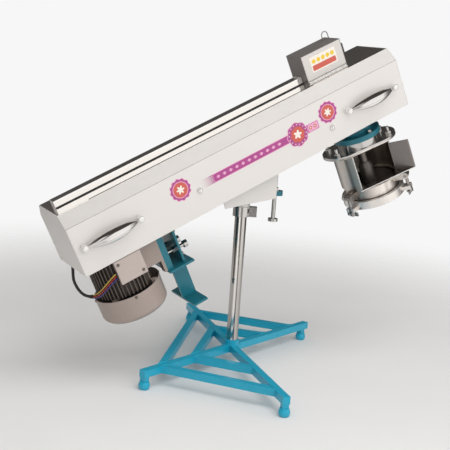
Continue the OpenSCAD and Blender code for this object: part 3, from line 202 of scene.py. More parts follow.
def paint_rib_highlight_and_feet(material):
    """Painted highlight on the rib edges far from the motor's axis, for light on the rib tips against shade in
    the gaps, and the cowl's paint on the feet beside the motor plate.
    """
    t = material.node_tree
    coord = t.nodes["Texture Coordinate"].outputs["Object"]

    def maths(operation, *values):
        return add_node(t, "Math", dict(enumerate(values)), operation=operation).outputs["Value"]

    split = add_node(t, "SeparateXYZ", {0: coord})
    along = add_node(t, "VectorMath", {0: coord, 1: AXIS_S}, operation="DOT_PRODUCT").outputs["Value"]
    aside = maths("SUBTRACT", along, boom(MOTOR_S, 0, PIVOT_T).dot(AXIS_S))
    wide = maths("ABSOLUTE", maths("SUBTRACT", split.outputs["Y"], metres(POLE.y)))
    far = maths("SQRT", maths("ADD", maths("MULTIPLY", aside, aside), maths("MULTIPLY", wide, wide)))
    # Painted highlight: the ribs' outer edges are lighter than the casting, for light on their tips against
    # shade between them
    recolour(material, maths("GREATER_THAN", far, RIB_REACH), RIB_TIP_HIGHLIGHT)
    recolour(material, maths("MULTIPLY", maths("GREATER_THAN", aside, FOOT_ALONG),
                             maths("GREATER_THAN", wide, FOOT_ACROSS)), FOOT_COLOUR)


paint_rib_highlight_and_feet(LOOK["iron"])


def warm_grey(level):
    return (level, level * (0.94 + 0.045 * level), level * (0.89 + 0.075 * level), 1)


def angle_ramp(tree, vector, stops):
    """Greys over the angle of a vector about Z, from -X by -Y and +X round to -X again.

    stops: the share of the way round and the grey's level there.
    """
    axes = add_node(tree, "SeparateXYZ", {0: vector})
    around = add_node(tree, "Math", {0: axes.outputs["Y"], 1: axes.outputs["X"]}, operation="ARCTAN2")
    share = add_node(tree, "MapRange", {"Value": around.outputs[0], "From Min": -math.pi, "From Max": math.pi})
    ramp = add_node(tree, "ValToRGB", {"Fac": share.outputs["Result"]})
    elements = ramp.color_ramp.elements
    for _ in stops[len(elements):]:
        elements.new(0.5)
    for element, (at, level) in zip(elements, stops):
        element.position = at
        element.color = warm_grey(level)
    return ramp.outputs["Color"]


def paint_reflection_bands(material, centre, axis_x, axis_y, stops):
    """Painted reflections: light and dark bands along a drawn or turned tube, by the angle about its axis."""
    t = material.node_tree
    coord = t.nodes["Texture Coordinate"].outputs["Object"]
    offset = add_node(t, "VectorMath", {0: coord, 1: centre}, operation="SUBTRACT")
    flat = add_node(t, "CombineXYZ")
    for socket, axis in zip(flat.inputs, (axis_x, axis_y)):
        part = add_node(t, "VectorMath", {0: offset.outputs[0], 1: axis}, operation="DOT_PRODUCT")
        t.links.new(part.outputs["Value"], socket)
    recolour(material, 1, angle_ramp(t, flat.outputs[0], stops), "MULTIPLY")


# Painted reflections: bands of light and shade round the pole and the drum; the pole's darkest, thin line is its
# seam
POLE_REFLECTIONS = [(0.0, 0.6), (0.085, 0.5), (0.118, 0.6), (0.132, 0.98), (0.162, 0.98), (0.184, 0.6), (0.193, 0.18),
              (0.207, 0.18), (0.217, 0.64), (0.27, 0.66), (0.31, 0.45), (0.5, 0.6), (0.62, 0.48), (0.64, 0.8),
              (0.7, 0.6), (0.8, 0.5), (0.83, 0.76), (0.88, 0.58), (1.0, 0.6)]
DRUM_REFLECTIONS = [(0.0, 0.72), (0.05, 0.72), (0.058, 0.32), (0.072, 0.32), (0.078, 0.5), (0.1, 0.44), (0.14, 0.6),
              (0.18, 0.92), (0.23, 0.95), (0.25, 0.62), (0.27, 0.9), (0.33, 0.8), (0.4, 0.5), (0.5, 0.62),
              (0.6, 0.5), (0.7, 0.66), (0.8, 0.5), (0.9, 0.62), (0.96, 0.48), (1.0, 0.72)]
# Painted reflections on the pole, and on the feed drum and the die plate
paint_reflection_bands(LOOK["pole"], metres(POLE), (1, 0, 0), AXIS_Y, POLE_REFLECTIONS)
paint_reflection_bands(LOOK["cast"], head(0, 0, 0), AXIS_S, AXIS_Y, DRUM_REFLECTIONS)

# Which solids carry which material
CARRIED = {
    "base": ["side_bars", "depth_bars", "braces", "leg_posts", "feet", "pole_socket"],
    "teal": ["stop_lug", "side_rails", "cross_plates", "pivot_bosses", "tilt_stop_rod",
             "motor_plate", "hanger_plate", "rest_leg", "bearing_housing"],
    "satin": ["yoke_plates", "yoke_sleeve", "front_cover", "rear_cover", "end_caps"],
    "brushed": ["control_panel"],
    "shell": ["control_box"],
    "top": ["top_cover"],
    "duct": ["cable_duct"],
    "chrome": ["front_handles", "rear_handles"],
    "bright": ["cover_screws"],
    "lid": ["terminal_box"],
    "pole": ["pole"],
    "tray": ["feed_tray"],
    "polished": ["eared_flange", "clamp_collar", "collar_bolt", "stop_screw", "wire_loop", "tension_bolts",
                 "head_bearings", "ear_studs"],
    "clamp": ["left_swing_bolt", "right_swing_bolt", "rear_swing_bolt"],
    "dark": ["rotor_shaft", "feed_screw"],
    "cast": ["feed_drum", "die_plate"],
    "ring": ["die_ring"],
    "motor": ["fan_cowl"],
    "iron": ["motor_frame"],
    "machined": ["pivot_bolt", "motor_shaft", "motor_pulley", "counter_bearing", "countershaft", "head_pulley"],
    "plastic": ["switch_knob", "cord_gland", "motor_fan"],
    "rubber": ["motor_lead", "drive_belts"],
    "yellow": ["core_wires"],
}
for key, names in CARRIED.items():
    for name in names:
        nodes[name].data.materials.clear()
        nodes[name].data.materials.append(LOOK[key])


# Cords: the same routes as the solids, in the boom's frame

LEAD = [(-534, 22, 14), (-538, 22, 0), (-545, 21, -18), (-552, 20, -38), (-553, 18, -56), (-551, 15, -72),
        (-546, 11, -85), (-538, 6, -94), (-529, 1, -99)]
YELLOW = [(-527, 0, -98), (-524, -8, -94), (-518, -26, -87), (-511, -44, -77), (-502, -60, -65),
          (-490, -74, -52), (-478, -84, -42), (-465, -88, -36)]
RED = [(-529, -3, -99), (-526, -12, -97), (-520, -30, -91), (-513, -48, -82), (-504, -64, -70),
       (-492, -77, -58), (-479, -85, -48), (-465, -87, -43)]
BLUE = [(-529, 1, -102), (-526, -10, -102), (-521, -28, -97), (-515, -47, -89), (-507, -64, -77),
        (-495, -78, -65), (-481, -86, -55), (-465, -86, -50)]
LEAD_D, CORE_D = 0.008, 0.003
ROUTE_STEPS = 4


def smooth(route):
    """A curve through a route's points, with ROUTE_STEPS points to each stretch."""
    pts = [Vector(p) for p in route]
    out = []
    for i in range(len(pts) - 1):
        p0, p1, p2, p3 = pts[max(i - 1, 0)], pts[i], pts[i + 1], pts[min(i + 2, len(pts) - 1)]
        for k in range(ROUTE_STEPS):
            u = k / ROUTE_STEPS
            out.append(0.5 * (2 * p1 + (p2 - p0) * u + (2 * p0 - 5 * p1 + 4 * p2 - p3) * u * u
                              + (3 * p1 - p0 - 3 * p2 + p3) * u ** 3))
    return out + [pts[-1]]


def cord(name, route, diameter, material, replaced=None):
    pts = [boom(*p) for p in smooth(route)]
    curve = bpy.data.curves.new(name, "CURVE")
    curve.dimensions = "3D"
    curve.bevel_depth = diameter / 2
    curve.bevel_resolution = 4
    curve.use_fill_caps = True
    line = curve.splines.new("POLY")
    line.points.add(len(pts) - 1)
    for point, p in zip(line.points, pts):
        point.co = (*p, 1)
    line.use_smooth = True
    obj = bpy.data.objects.new(name, curve)
    scene.collection.objects.link(obj)
    curve.materials.append(material)
    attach(obj, "boom")
    if replaced:
        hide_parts(replaced)


cord("lead", LEAD, LEAD_D, LOOK["rubber"], "motor_lead")
cord("core_yellow", YELLOW, CORE_D, LOOK["yellow"], "core_wires")
cord("core_red", RED, CORE_D, LOOK["red"])
cord("core_blue", BLUE, CORE_D, LOOK["blue"])


# Pieces built here: helpers

TUBE_SIDES = 8


class Shape:
    """Vertices and faces gathered from several simple forms, in metres."""

    def __init__(self):
        self.verts, self.faces = [], []

    def rings(self, rings, loop=False):
        """A skin over rings of as many points each, with its ends closed or, in a loop, joined."""
        base, count, n = len(self.verts), len(rings), len(rings[0])
        self.verts += [p for ring in rings for p in ring]
        for i in range(count if loop else count - 1):
            here, there = base + i * n, base + (i + 1) % count * n
            for k in range(n):
                m = (k + 1) % n
                self.faces.append([here + k, here + m, there + m, there + k])
        if not loop:
            self.faces.append([base + k for k in reversed(range(n))])
            self.faces.append([base + (count - 1) * n + k for k in range(n)])

    def lathe(self, profile, matrix, sides):
        """profile: (radius, height) pairs about the matrix's Z axis."""
        self.rings([[matrix @ metres(Vector((r * math.cos(a), r * math.sin(a), z))) for a in angles(sides)]
                    for r, z in profile])

    def plate(self, outline, place, low, high):
        """A flat plate: outline of (a, b) points, placed by place(a, b, height)."""
        self.rings([[place(a, b, height) for a, b in outline] for height in (low, high)])

    def along_boom(self, outline, start, end):
        """A bar along the boom; outline: (y, t) points."""
        self.rings([[boom(s, y, t) for y, t in outline] for s in (start, end)])

    def tube(self, points, radius, loop=False):
        """A round bar along points in metres; radius is a function of the share of the way along it."""
        rings, side, count = [], None, len(points)
        for i, p in enumerate(points):
            before, after = (i - 1, (i + 1) % count) if loop else (max(i - 1, 0), min(i + 1, count - 1))
            ahead = (points[after] - points[before]).normalized()
            if side is None:
                side = ahead.orthogonal().normalized()
            else:
                side = (side - ahead * side.dot(ahead)).normalized()
            over = ahead.cross(side)
            r = metres(radius(i / (count - 1)))
            rings.append([p + (side * math.cos(a) + over * math.sin(a)) * r for a in angles(TUBE_SIDES)])
        self.rings(rings, loop)

    def build(self, name, material, body, slot, angle=35):
        """The gathered forms as one piece; edges sharper than the angle, in degrees, stay sharp."""
        mesh = bpy.data.meshes.new(name)
        mesh.from_pydata([tuple(v) for v in self.verts], [], self.faces)
        mesh.validate()
        work = bmesh.new()
        work.from_mesh(mesh)
        bmesh.ops.recalc_face_normals(work, faces=work.faces)
        work.to_mesh(mesh)
        work.free()
        mesh.shade_smooth()
        mesh.set_sharp_from_angle(angle=math.radians(angle))
        mesh.materials.append(material)
        obj = bpy.data.objects.new(name, mesh)
        scene.collection.objects.link(obj)
        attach(obj, body)
        return obj


def facing(place, normal):
    """A matrix at a place in metres whose Z axis is the normal (any but an upright one)."""
    z = Vector(normal).normalized()
    x = Vector((0, 0, 1)).cross(z).normalized()
    return Matrix.Translation(place) @ Matrix((x, z.cross(x), z)).transposed().to_4x4()


WASHER_T = 1.5


def hex_bolt(shape, matrix, flats, high):
    """A hexagon head or nut on a washer."""
    r = flats / math.sqrt(3)
    shape.lathe([(r * 1.25, 0), (r * 1.25, 1.2), (r * 1.15, WASHER_T), (r * 0.6, WASHER_T)], matrix, 32)
    shape.lathe([(r, WASHER_T), (r, WASHER_T + high * 0.8), (r * 0.84, WASHER_T + high)], matrix, 6)


def pan_screw(shape, matrix, r, high):
    shape.lathe([(r, 0), (r, high * 0.35), (r * 0.93, high * 0.68), (r * 0.7, high * 0.92), (r * 0.3, high)],
                matrix, 24)


# Handles: smooth bows on their bosses, in the place of the plain solids

SPAN, BOW, GRIP_H, GRIP_T, BOSS_D, BOSS_H = 164, 20, 34, 12, 18, 14
# Height and thickness of the grip's ends, and the gap left at both of them together
END_H, END_T, END_GAP = BOSS_D * 0.5, BOSS_D * 0.45, 0.2
GRIP_STEPS = 56
LEFT_HANDLE, RIGHT_HANDLE = (-439, 75), (402, 70)
# Section of the grip in half thicknesses (inwards) and half heights (upwards)
SECTION = [(-0.97, 0.0), (-1.0, 0.26), (-0.98, 0.4), (-0.86, 0.52), (-0.3, 0.75), (0.3, 0.93), (0.58, 0.985),
           (0.78, 1.0), (0.92, 0.93), (1.0, 0.7), (1.0, 0.2), (1.0, -0.2), (1.0, -0.7), (0.92, -0.93),
           (0.75, -1.0), (0.45, -0.98), (-0.1, -0.9), (-0.62, -0.76), (-0.86, -0.64), (-0.95, -0.5),
           (-0.99, -0.36), (-1.0, -0.3), (-0.86, -0.28), (-0.86, -0.22), (-1.0, -0.2), (-0.98, -0.1)]
# Profile of a boss: share of its radius, and height above the cover
BOSS = [(1, 0), (1, 1.2), (0.94, 1.8), (0.94, 3.4), (1, 4), (1, BOSS_H + 1.6), (0.96, BOSS_H + 3.2),
        (0.84, BOSS_H + 4.5), (0.6, BOSS_H + 5.1), (0.25, BOSS_H + 5.3)]


def handle(name, s, t, side):
    """side: -1 in front, 1 at the rear."""
    shape = Shape()
    rings = []
    for i in range(GRIP_STEPS + 1):
        u = 2 * i / GRIP_STEPS - 1
        swell = 1 - u * u
        high = END_H + (GRIP_H - END_H) * swell
        thick = END_T + (GRIP_T - END_T) * swell
        out = BOOM_FACE + BOSS_H - END_T / 2 + BOW * swell
        along = s + u * (SPAN - BOSS_D - END_GAP) / 2
        rings.append([boom(along, side * (out - thick / 2 * c), t + high / 2 * d) for c, d in SECTION])
    shape.rings(rings)
    grip = shape.build(name, LOOK["chrome"], "boom", "polished_steel", 40)
    ends = Shape()
    for end in (-1, 1):
        place = boom(s + end * SPAN / 2, side * BOOM_FACE, t)
        ends.lathe([(BOSS_D / 2 * share, z) for share, z in BOSS], facing(place, (0, side, 0)), 36)
    ends.build(f"{name}_ends", LOOK["bright"], "boom", "polished_steel", 40)
    return grip


for side, row in ((-1, "front"), (1, "rear")):
    left = handle(f"{row}_left_handle", *LEFT_HANDLE, side)
    handle(f"{row}_right_handle", *RIGHT_HANDLE, side)
    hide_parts(f"{row}_handles")


# Fasteners

LID_FACE, LID_SCREWS = 98, [(-456, -14), (-397, -58)]
COWL_R, COWL_SCREW_T, COWL_SCREW_ANGLE = 93, -121, 262
dark_screws = Shape()
for s, t in LID_SCREWS:
    pan_screw(dark_screws, facing(boom(s, -LID_FACE, t), FRONTWARDS), 4.2, 2.6)
for k in range(4):
    a = math.radians(COWL_SCREW_ANGLE + 90 * k)
    outwards = AXIS_S * math.cos(a) + AXIS_Y * math.sin(a)
    place = boom(MOTOR_S + COWL_R * math.cos(a), COWL_R * math.sin(a), COWL_SCREW_T)
    pan_screw(dark_screws, facing(place, outwards), 4, 2.4)
dark_screws.build("motor_screws", LOOK["dark"], "boom", "machine_iron")

panel_screw = Shape()
pan_screw(panel_screw, facing(boom(328, -PANEL_FACE - 0.05, 180), FRONTWARDS), 3.2, 2)
for s in (275, 381):
    pan_screw(panel_screw, facing(boom(s, -50.6, BOOM_TOP + 1.1), AXIS_T), 2.2, 1.4)
panel_screw.build("panel_screw", LOOK["bright"], "boom", "polished_steel")

# Bright rolled edge at the feed window's left side and along the tray's front, in the head's frame
WINDOW_TOP, WINDOW_LOW = -83.0, -190.0
WINDOW_EDGE, TRAY_CORNER, TRAY_END = (-55.6, -66.3), (-63.8, -77), (120, -77)
TRAY_EDGE, RIM_R = WINDOW_LOW + 1.5, 1.7
rim = Shape()
for a, b in [((*WINDOW_EDGE, WINDOW_TOP), (*WINDOW_EDGE, WINDOW_LOW)),
             ((*WINDOW_EDGE, TRAY_EDGE), (*TRAY_CORNER, TRAY_EDGE)),
             ((*TRAY_CORNER, TRAY_EDGE), (*TRAY_END, TRAY_EDGE))]:
    rim.tube([head(*a), head(*b)], lambda u: RIM_R)
rim.build("window_rim", LOOK["bright"], "boom", "polished_steel")

# Painted shade: a black ring where the barrel meets the die ring, for the dark gap there
RING_SHADE_R, RING_SHADE_T, RING_SHADE_LINE_R = 81.2, -226.0, 1.3
ring_shade = Shape()
ring_shade.tube([head(RING_SHADE_R * math.cos(a), RING_SHADE_R * math.sin(a), RING_SHADE_T) for a in angles(72)],
           lambda u: RING_SHADE_LINE_R, loop=True)
ring_shade.build("ring_shade_line", LOOK["rubber"], "boom", "black_rubber")

FLANGE_BOLT_R, FLANGE_BOLT_T = 61, -36
# Bolts of the motor plate and of the hanger plate: s, half their spread in y, t, flats, height
PLATE_BOLTS = [(-320, 43.2, (-92, -20), 13, 6), (-270, 45, (-95, -22), 12, 6)]
bolts = Shape()
for a in (math.radians(degrees) for degrees in (20, 110, 200, 290)):
    place = head(FLANGE_BOLT_R * math.cos(a), FLANGE_BOLT_R * math.sin(a), FLANGE_BOLT_T)
    hex_bolt(bolts, facing(place, AXIS_T), 13, 7)
for s, spread, heights, flats, high in PLATE_BOLTS:
    for y in (-spread, spread):
        for t in heights:
            hex_bolt(bolts, facing(boom(s, y, t), AXIS_S), flats, high)
bolts.build("plate_bolts", LOOK["polished"], "boom", "polished_steel")

# The stop screw's nut on its lug, seen from the pole's foot
LUG_TOP = Vector((105, 0, 502))
lock_nut = Shape()
hex_bolt(lock_nut, Matrix.Translation(metres(POLE + LUG_TOP)), 19, 8)
lock_nut.build("stop_lock_nut", LOOK["polished"], "yoke", "polished_steel")


# Painted lines of shade and reflection, the control box's strap, and ribs

# Sections across the boom: y and t of the painted shade on the fold line, and y and t of the painted shadow at
# the duct's foot, from the duct's wall and the boom's top
FOLD = [(101.4, 136.6), (101.62, 136.7), (101.62, 137.4), (101.2, 137.4)]
DUCT_SHADOW_SECTION = [(0, 0.05), (3.6, 0.05), (3, 1.6), (1.4, 2.8), (0, 3.2)]
DUCT_Y, DUCT_HALF = -3, 15.05
# Painted shade: dark lines along the fold between the front and the chamfer, on both sides
fold_shade = Shape()
for side in (-1, 1):
    fold_shade.along_boom([(side * y, t) for y, t in FOLD], -543.5, 518.5)
fold_shade.build("fold_shade_lines", LOOK["dark"], "boom", "satin_steel")

# Painted shadow: black strips along both sides of the duct's foot, for the shadow gap under the duct
duct_shadow = Shape()
for side in (-1, 1):
    duct_shadow.along_boom([(DUCT_Y + side * (DUCT_HALF + y), BOOM_TOP + t) for y, t in DUCT_SHADOW_SECTION], -526, 259.5)
duct_shadow.build("duct_shadow_line", LOOK["rubber"], "boom", "black_rubber")

# Painted reflection: a black strip along the front of the boom's top, for the dark reflected line there; it
# would grey the duct, so mirrors don't show it
STRIP = [(-71.8, 0.05), (-71.6, 1.3), (-69.6, 1.3), (-69.4, 0.05)]
dark_reflection_line = Shape()
dark_reflection_line.along_boom([(y, BOOM_TOP + t) for y, t in STRIP], -452, 259)
dark_reflection_line.build("dark_reflection_line", LOOK["rubber"], "boom", "black_rubber").visible_glossy = False

# The control box's strap over the duct, and the flange at its foot
BOX_STRAP = [(-18.95, 174.3), (-18.95, 191.95), (12.95, 191.95), (12.95, 174.3), (12.05, 174.3),
             (12.05, 191.05), (-18.05, 191.05), (-18.05, 174.3)]
BOX_FLANGE = [(-46.05, 171.05), (-46.05, 175), (-46.9, 175), (-46.9, 172.1), (-54, 172.1), (-54, 171.05)]
strap = Shape()
strap.along_boom(BOX_STRAP, 249, 258)
strap.along_boom(BOX_FLANGE, 263, 393)
strap.build("box_flange", LOOK["bright"], "boom", "satin_steel")

# Ribs below the terminal box: distance from the motor's axis and half thickness of their corners
RIB = [(73, -1.5), (82, -1.3), (82, 1.3), (73, 1.5)]
RIB_FIRST, RIB_PITCH, RIB_ENDS = 246, 8, (-114, -70)
ribs = Shape()
for k in range(7):
    a = math.radians(RIB_FIRST + RIB_PITCH * k)
    c, s = math.cos(a), math.sin(a)
    ribs.rings([[boom(MOTOR_S + r * c - w * s, r * s + w * c, t) for r, w in RIB] for t in RIB_ENDS])
ribs.build("lower_ribs", LOOK["iron"], "boom", "motor_iron")


# Weld beads of the stand, seen from the pole's foot

BAR_TOP, BAR_HALF = 54.0, 10.0
BAR_LOW = BAR_TOP - 2 * BAR_HALF
SOCKET_RINGS = [(21.2, BAR_TOP), (17.4, 68)]
POST_HALF, FOOT_R, FOOT_Z = 8.5, 11.2, 21
# Directions of the stand's four bars
RIGHT, REAR = math.radians(22), math.radians(81)
LEFT, FRONT = RIGHT + math.pi, REAR + math.pi
# Each brace from one bar to another: direction of the bar and distance along it, for both ends
BRACES = [(REAR, 343, LEFT, 292), (REAR, 172, LEFT, 162), (LEFT, 292, FRONT, 366),
          (LEFT, 162, FRONT, 200), (REAR, 343, RIGHT, 292), (REAR, 172, RIGHT, 162)]
POSTS = [(RIGHT, 342), (LEFT, 354), (REAR, 406), (FRONT, 418)]


def polar(r, a):
    return Vector((r * math.cos(a), r * math.sin(a), 0))


def upright(z):
    return Vector((0, 0, z))


def ripples(r, waves, least=0.8, swell=0.25):
    """A bead's radius along its length."""
    return lambda u: r * (least + swell * abs(math.sin(u * waves)))


def bead_line(shape, a, b, r):
    """A straight bead that thins at its ends."""
    body = ripples(r, 34)
    points = [metres(POLE + a + (b - a) * (i / 24)) for i in range(25)]
    shape.tube(points, lambda u: body(u) * (0.4 + 0.6 * min(1, 8 * u, 8 * (1 - u))))


def bead_ring(shape, centre, r, steps, radius):
    shape.tube([metres(POLE + centre + polar(r, a)) for a in angles(steps)], radius, loop=True)


welds = Shape()
for angle_a, reach_a, angle_b, reach_b in BRACES:
    from_bar, to_bar = polar(reach_a, angle_a), polar(reach_b, angle_b)
    run = (to_bar - from_bar).normalized()
    across = Vector((-run.y, run.x, 0))
    for start, angle, ahead in ((from_bar, angle_a, run), (to_bar, angle_b, -run)):
        normal = polar(1, angle + math.pi / 2)
        if normal.dot(ahead) < 0:
            normal = -normal
        # Where the brace's two sides meet the bar's side
        ends = []
        for w in (-BAR_HALF, BAR_HALF):
            travel = (BAR_HALF - (across * w).dot(normal)) / ahead.dot(normal)
            ends.append(start + across * w + ahead * travel)
        bead_line(welds, ends[0] + upright(BAR_TOP), ends[1] + upright(BAR_TOP), 2.2)
        for end in ends:
            bead_line(welds, end + upright(BAR_TOP), end + upright(BAR_LOW), 2.2)
for r, z in SOCKET_RINGS:
    bead_ring(welds, upright(z), r, 90, ripples(1.8, 130))
for angle, reach in POSTS:
    centre = polar(reach, angle)
    along, aside = polar(POST_HALF, angle), polar(POST_HALF, angle + math.pi / 2)
    corners = [centre + along + aside, centre - along + aside, centre - along - aside, centre + along - aside]
    for a, b in zip(corners, corners[1:] + corners[:1]):
        bead_line(welds, a + upright(BAR_LOW), b + upright(BAR_LOW), 1.6)
    bead_ring(welds, centre + upright(FOOT_Z), FOOT_R, 40, ripples(1.6, 60, 0.85, 0.2))
welds.build("weld_beads", LOOK["base"], "stand", "base_paint", 60)


# Stickers: plain coloured vinyl in the photograph's colours

VINYL = {
    "purple": new_material("purple_vinyl", (0.40, 0.065, 0.25), 0.34, vary=0.08),
    "pink": new_material("pink_vinyl", (0.78, 0.40, 0.58), 0.34, vary=0.05),
    "salmon": new_material("salmon_vinyl", (0.58, 0.115, 0.085), 0.34, vary=0.08),
    "cream": new_material("cream_vinyl", (0.86, 0.80, 0.72), 0.34, vary=0.04),
    "amber": new_material("amber_vinyl", (0.80, 0.55, 0.05), 0.34, vary=0.05),
}
CORNER_STEPS = 8
layers = {key: Shape() for key in VINYL}


def on_front(s, t, high):
    return boom(s, -BOOM_FACE - high, t)


def on_panel(s, t, high):
    return boom(s, -PANEL_FACE - high, t)


def stick(key, outline, low, high, place=on_front):
    """A film of one colour between two heights above the sheet."""
    layers[key].plate(outline, place, low, high)


def rosette(r, lobes, depth, s, t, steps=180):
    return [(s + r * (1 + depth * math.cos(lobes * a)) * math.cos(a),
             t + r * (1 + depth * math.cos(lobes * a)) * math.sin(a)) for a in angles(steps)]


def disc(r, s, t, steps=180):
    return rosette(r, 1, 0, s, t, steps)


def bar_outline(s0, s1, t0, t1, r):
    """A bar with rounded corners."""
    points = []
    for s, t, first in ((s1 - r, t1 - r, 0), (s0 + r, t1 - r, 90), (s0 + r, t0 + r, 180), (s1 - r, t0 + r, 270)):
        for i in range(CORNER_STEPS + 1):
            a = math.radians(first + 90 * i / CORNER_STEPS)
            points.append((s + r * math.cos(a), t + r * math.sin(a)))
    return points


# The rosettes at both ends
for s, t in ((-225, 91), (259, 93)):
    stick("pink", rosette(30.5, 12, 0.05, s, t), 0, 0.15)
    stick("purple", rosette(28.5, 12, 0.05, s, t), 0.15, 0.25)
    stick("pink", disc(22.5, s, t), 0.25, 0.32)
    stick("salmon", disc(20.5, s, t), 0.32, 0.4)
    stick("cream", rosette(9, 6, 0.35, s, t), 0.4, 0.46)

# The band, with dots that fade out at its left, two flowers at its right and diamonds along it
BAND_T = 75.5
stick("pink", bar_outline(-128, 222, 63, 88, 3), 0, 0.15)
stick("purple", bar_outline(-126, 220, 65, 86, 2.5), 0.15, 0.25)
for i in range(8):
    for k in range(5):
        stick("purple", disc(0.5 + 0.25 * i, -163 + 4.8 * i, 65.5 + 5 * k, 12), 0, 0.15)
stick("pink", bar_outline(186, 219, 66, 85, 2), 0.25, 0.33)
for s in (194, 209):
    stick("salmon", rosette(5, 8, 0.1, s, BAND_T, 48), 0.33, 0.4)
    stick("cream", disc(2.2, s, BAND_T, 20), 0.4, 0.46)
for s in range(-112, 108, 20):
    stick("pink", [(s, BAND_T - 5), (s + 6, BAND_T), (s, BAND_T + 5), (s - 6, BAND_T)], 0.25, 0.33)

# The badge on the band
BADGE_S, BEAD_CIRCLE = 150, 27.5
stick("pink", rosette(34, 8, 0.04, BADGE_S, BAND_T), 0.25, 0.33)
stick("purple", rosette(32, 8, 0.04, BADGE_S, BAND_T), 0.33, 0.4)
stick("salmon", rosette(22, 8, 0.06, BADGE_S, BAND_T), 0.4, 0.46)
for k in range(16):
    a = FULL_TURN * (k + 0.5) / 16
    s, t = BADGE_S + BEAD_CIRCLE * math.cos(a), BAND_T + BEAD_CIRCLE * math.sin(a)
    stick("cream", disc(1.6, s, t, 12), 0.4, 0.46)
stick("cream", rosette(10, 5, 0.3, BADGE_S, BAND_T), 0.46, 0.52)

# The control panel's label
stick("cream", bar_outline(284, 372, 194, 238, 4), 0, 0.15, on_panel)
stick("salmon", bar_outline(288, 368, 198, 213, 3), 0.15, 0.25, on_panel)
for i in range(5):
    stick("amber", disc(6.2, 296 + 16 * i, 224), 0.15, 0.25, on_panel)
for key, shape in layers.items():
    shape.build(f"sticker_{key}", VINYL[key], "boom", "black_plastic", 20)


# Tie at the end of the lead, and the cores' sleeves at the terminal box

TIE = [(4.6, -5), (5.2, -4), (5.2, 4), (4.6, 5)]
SLEEVE = [(4, -4), (4, 3), (2.8, 5)]
SLEEVE_SHIFT = 2
CORES_AHEAD = (-524, -8, -97)
tie = Shape()
tie.lathe(TIE, facing(boom(*LEAD[-1]), boom(*CORES_AHEAD) - boom(*LEAD[-2])), 24)
for s, y, t in (YELLOW[-1], RED[-1], BLUE[-1]):
    tie.lathe(SLEEVE, facing(boom(s + SLEEVE_SHIFT, y, t), -AXIS_S), 20)
tie.build("lead_tie", LOOK["rubber"], "boom", "black_rubber")


# Stage: pale floor, soft light, the photograph's camera; places here are in metres

FLOOR_HALF = 6
FADE_START, FADE_END = 0.8, 2.2
floor_mesh = bpy.data.meshes.new("floor")
floor_mesh.from_pydata([(x * FLOOR_HALF, y * FLOOR_HALF, 0) for x, y in ((-1, -1), (1, -1), (1, 1), (-1, 1))],
                       [], [(0, 1, 2, 3)])
floor = bpy.data.objects.new("floor", floor_mesh)
scene.collection.objects.link(floor)
floor_look = new_material("pale_floor", (0.80, 0.795, 0.79), 0.8, vary=0.01, scale=3, bump=0.0)
floor_mesh.materials.append(floor_look)
# Far from the part the floor fades away, so that no horizon shows
ft = floor_look.node_tree
away = add_node(ft, "VectorMath", {0: ft.nodes["Texture Coordinate"].outputs["Object"]}, operation="LENGTH")
fade = add_node(ft, "MapRange", {"Value": away.outputs["Value"], "From Min": FADE_START, "From Max": FADE_END},
                interpolation_type="SMOOTHSTEP")
shade = add_node(ft, "MixShader", {0: fade.outputs["Result"], 1: ft.nodes["Principled BSDF"].outputs[0],
                                   2: add_node(ft, "BsdfTransparent").outputs[0]})
ft.links.new(shade.outputs[0], ft.nodes["Material Output"].inputs["Surface"])

# World: even light; mirrors see two bright panes in front, and a dim room above and behind
PANES = [(0.0, 0.15), (0.08, 0.15), (0.10, 0.98), (0.145, 0.98), (0.165, 0.3), (0.22, 0.3), (0.25, 1.0),
         (0.40, 1.0), (0.45, 0.2), (0.5, 0.08), (0.74, 0.05), (0.78, 0.3), (0.87, 0.3), (0.91, 0.15)]
# Heights of a view direction between which the panes give way to the dim room
PANES_END, ROOM_START = 0.52, 0.76
world = bpy.data.worlds.new("studio")
scene.world = world
world.use_nodes = True
wt = world.node_tree
wt.nodes.clear()


def background(colour, strength):
    return add_node(wt, "Background", {"Color": colour, "Strength": strength})


def mix_world(factor, a, b):
    return add_node(wt, "MixShader", {0: factor, 1: a.outputs[0], 2: b.outputs[0]})


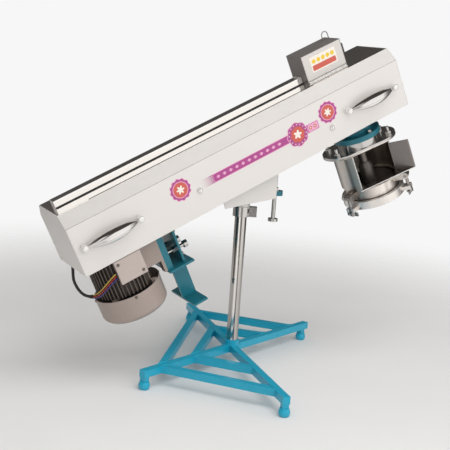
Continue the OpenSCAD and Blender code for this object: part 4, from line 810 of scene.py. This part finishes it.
paths = add_node(wt, "LightPath")
view = add_node(wt, "TexCoord").outputs["Generated"]
height = add_node(wt, "SeparateXYZ", {0: view}).outputs["Z"]
lowness = add_node(wt, "MapRange", {"Value": height, "From Min": ROOM_START, "From Max": PANES_END},
                   interpolation_type="SMOOTHSTEP").outputs["Result"]
room = mix_world(lowness, background((0.62, 0.55, 0.50, 1), 0.1), background(angle_ramp(wt, view, PANES), 1.08))
lit = mix_world(paths.outputs["Is Glossy Ray"], background((1.0, 0.985, 0.97, 1), 0.5), room)
seen = mix_world(paths.outputs["Is Camera Ray"], lit, background((0.93, 0.93, 0.93, 1), 1.0))
add_node(wt, "OutputWorld", {"Surface": seen.outputs[0]})


def area_light(name, place, target, size, power, colour):
    light = bpy.data.lights.new(name, "AREA")
    light.shape = "RECTANGLE"
    light.size, light.size_y = size
    light.energy = power
    light.color = colour
    obj = bpy.data.objects.new(name, light)
    obj.location = place
    obj.rotation_euler = (Vector(target) - Vector(place)).to_track_quat("-Z", "Y").to_euler()
    obj.visible_glossy = False
    scene.collection.objects.link(obj)


area_light("key", (-0.5, -3.0, 1.7), (0, 0, 0.6), (2.4, 2.2), 38, (1, 0.98, 0.955))
area_light("fill", (2.4, -1.8, 1.6), (0, 0, 0.5), (1.6, 1.6), 11, (0.98, 0.98, 1))
area_light("top", (0.0, -1.0, 2.9), (0, 0, 0.4), (2.4, 1.8), 32, (1, 1, 1))

# Camera fitted to the photograph: its angles, its place from the pole's foot, and its focal length
YAW, PITCH, ROLL = math.radians(-28.31), math.radians(11.04), math.radians(4.0)
CAMERA = Vector((-1353.6, -2422.2, 942.5))
SENSOR, FOCAL_PIXELS, PHOTO_PIXELS = 36, 1000.25, 450
ahead = Vector((-math.sin(YAW) * math.cos(PITCH), math.cos(YAW) * math.cos(PITCH), -math.sin(PITCH)))
level = Vector((math.cos(YAW), math.sin(YAW), 0))
above = level.cross(ahead)
right = level * math.cos(ROLL) + above * math.sin(ROLL)
up = above * math.cos(ROLL) - level * math.sin(ROLL)
lens = bpy.data.cameras.new("camera")
lens.sensor_width = SENSOR
lens.lens = SENSOR * FOCAL_PIXELS / PHOTO_PIXELS
lens.clip_end = 50
camera = bpy.data.objects.new("camera", lens)
turn = Matrix((right, up, -ahead)).transposed().to_4x4()
camera.matrix_world = Matrix.Translation(metres(POLE + CAMERA)) @ turn
scene.collection.objects.link(camera)
scene.camera = camera
scene.view_settings.view_transform = "Standard"
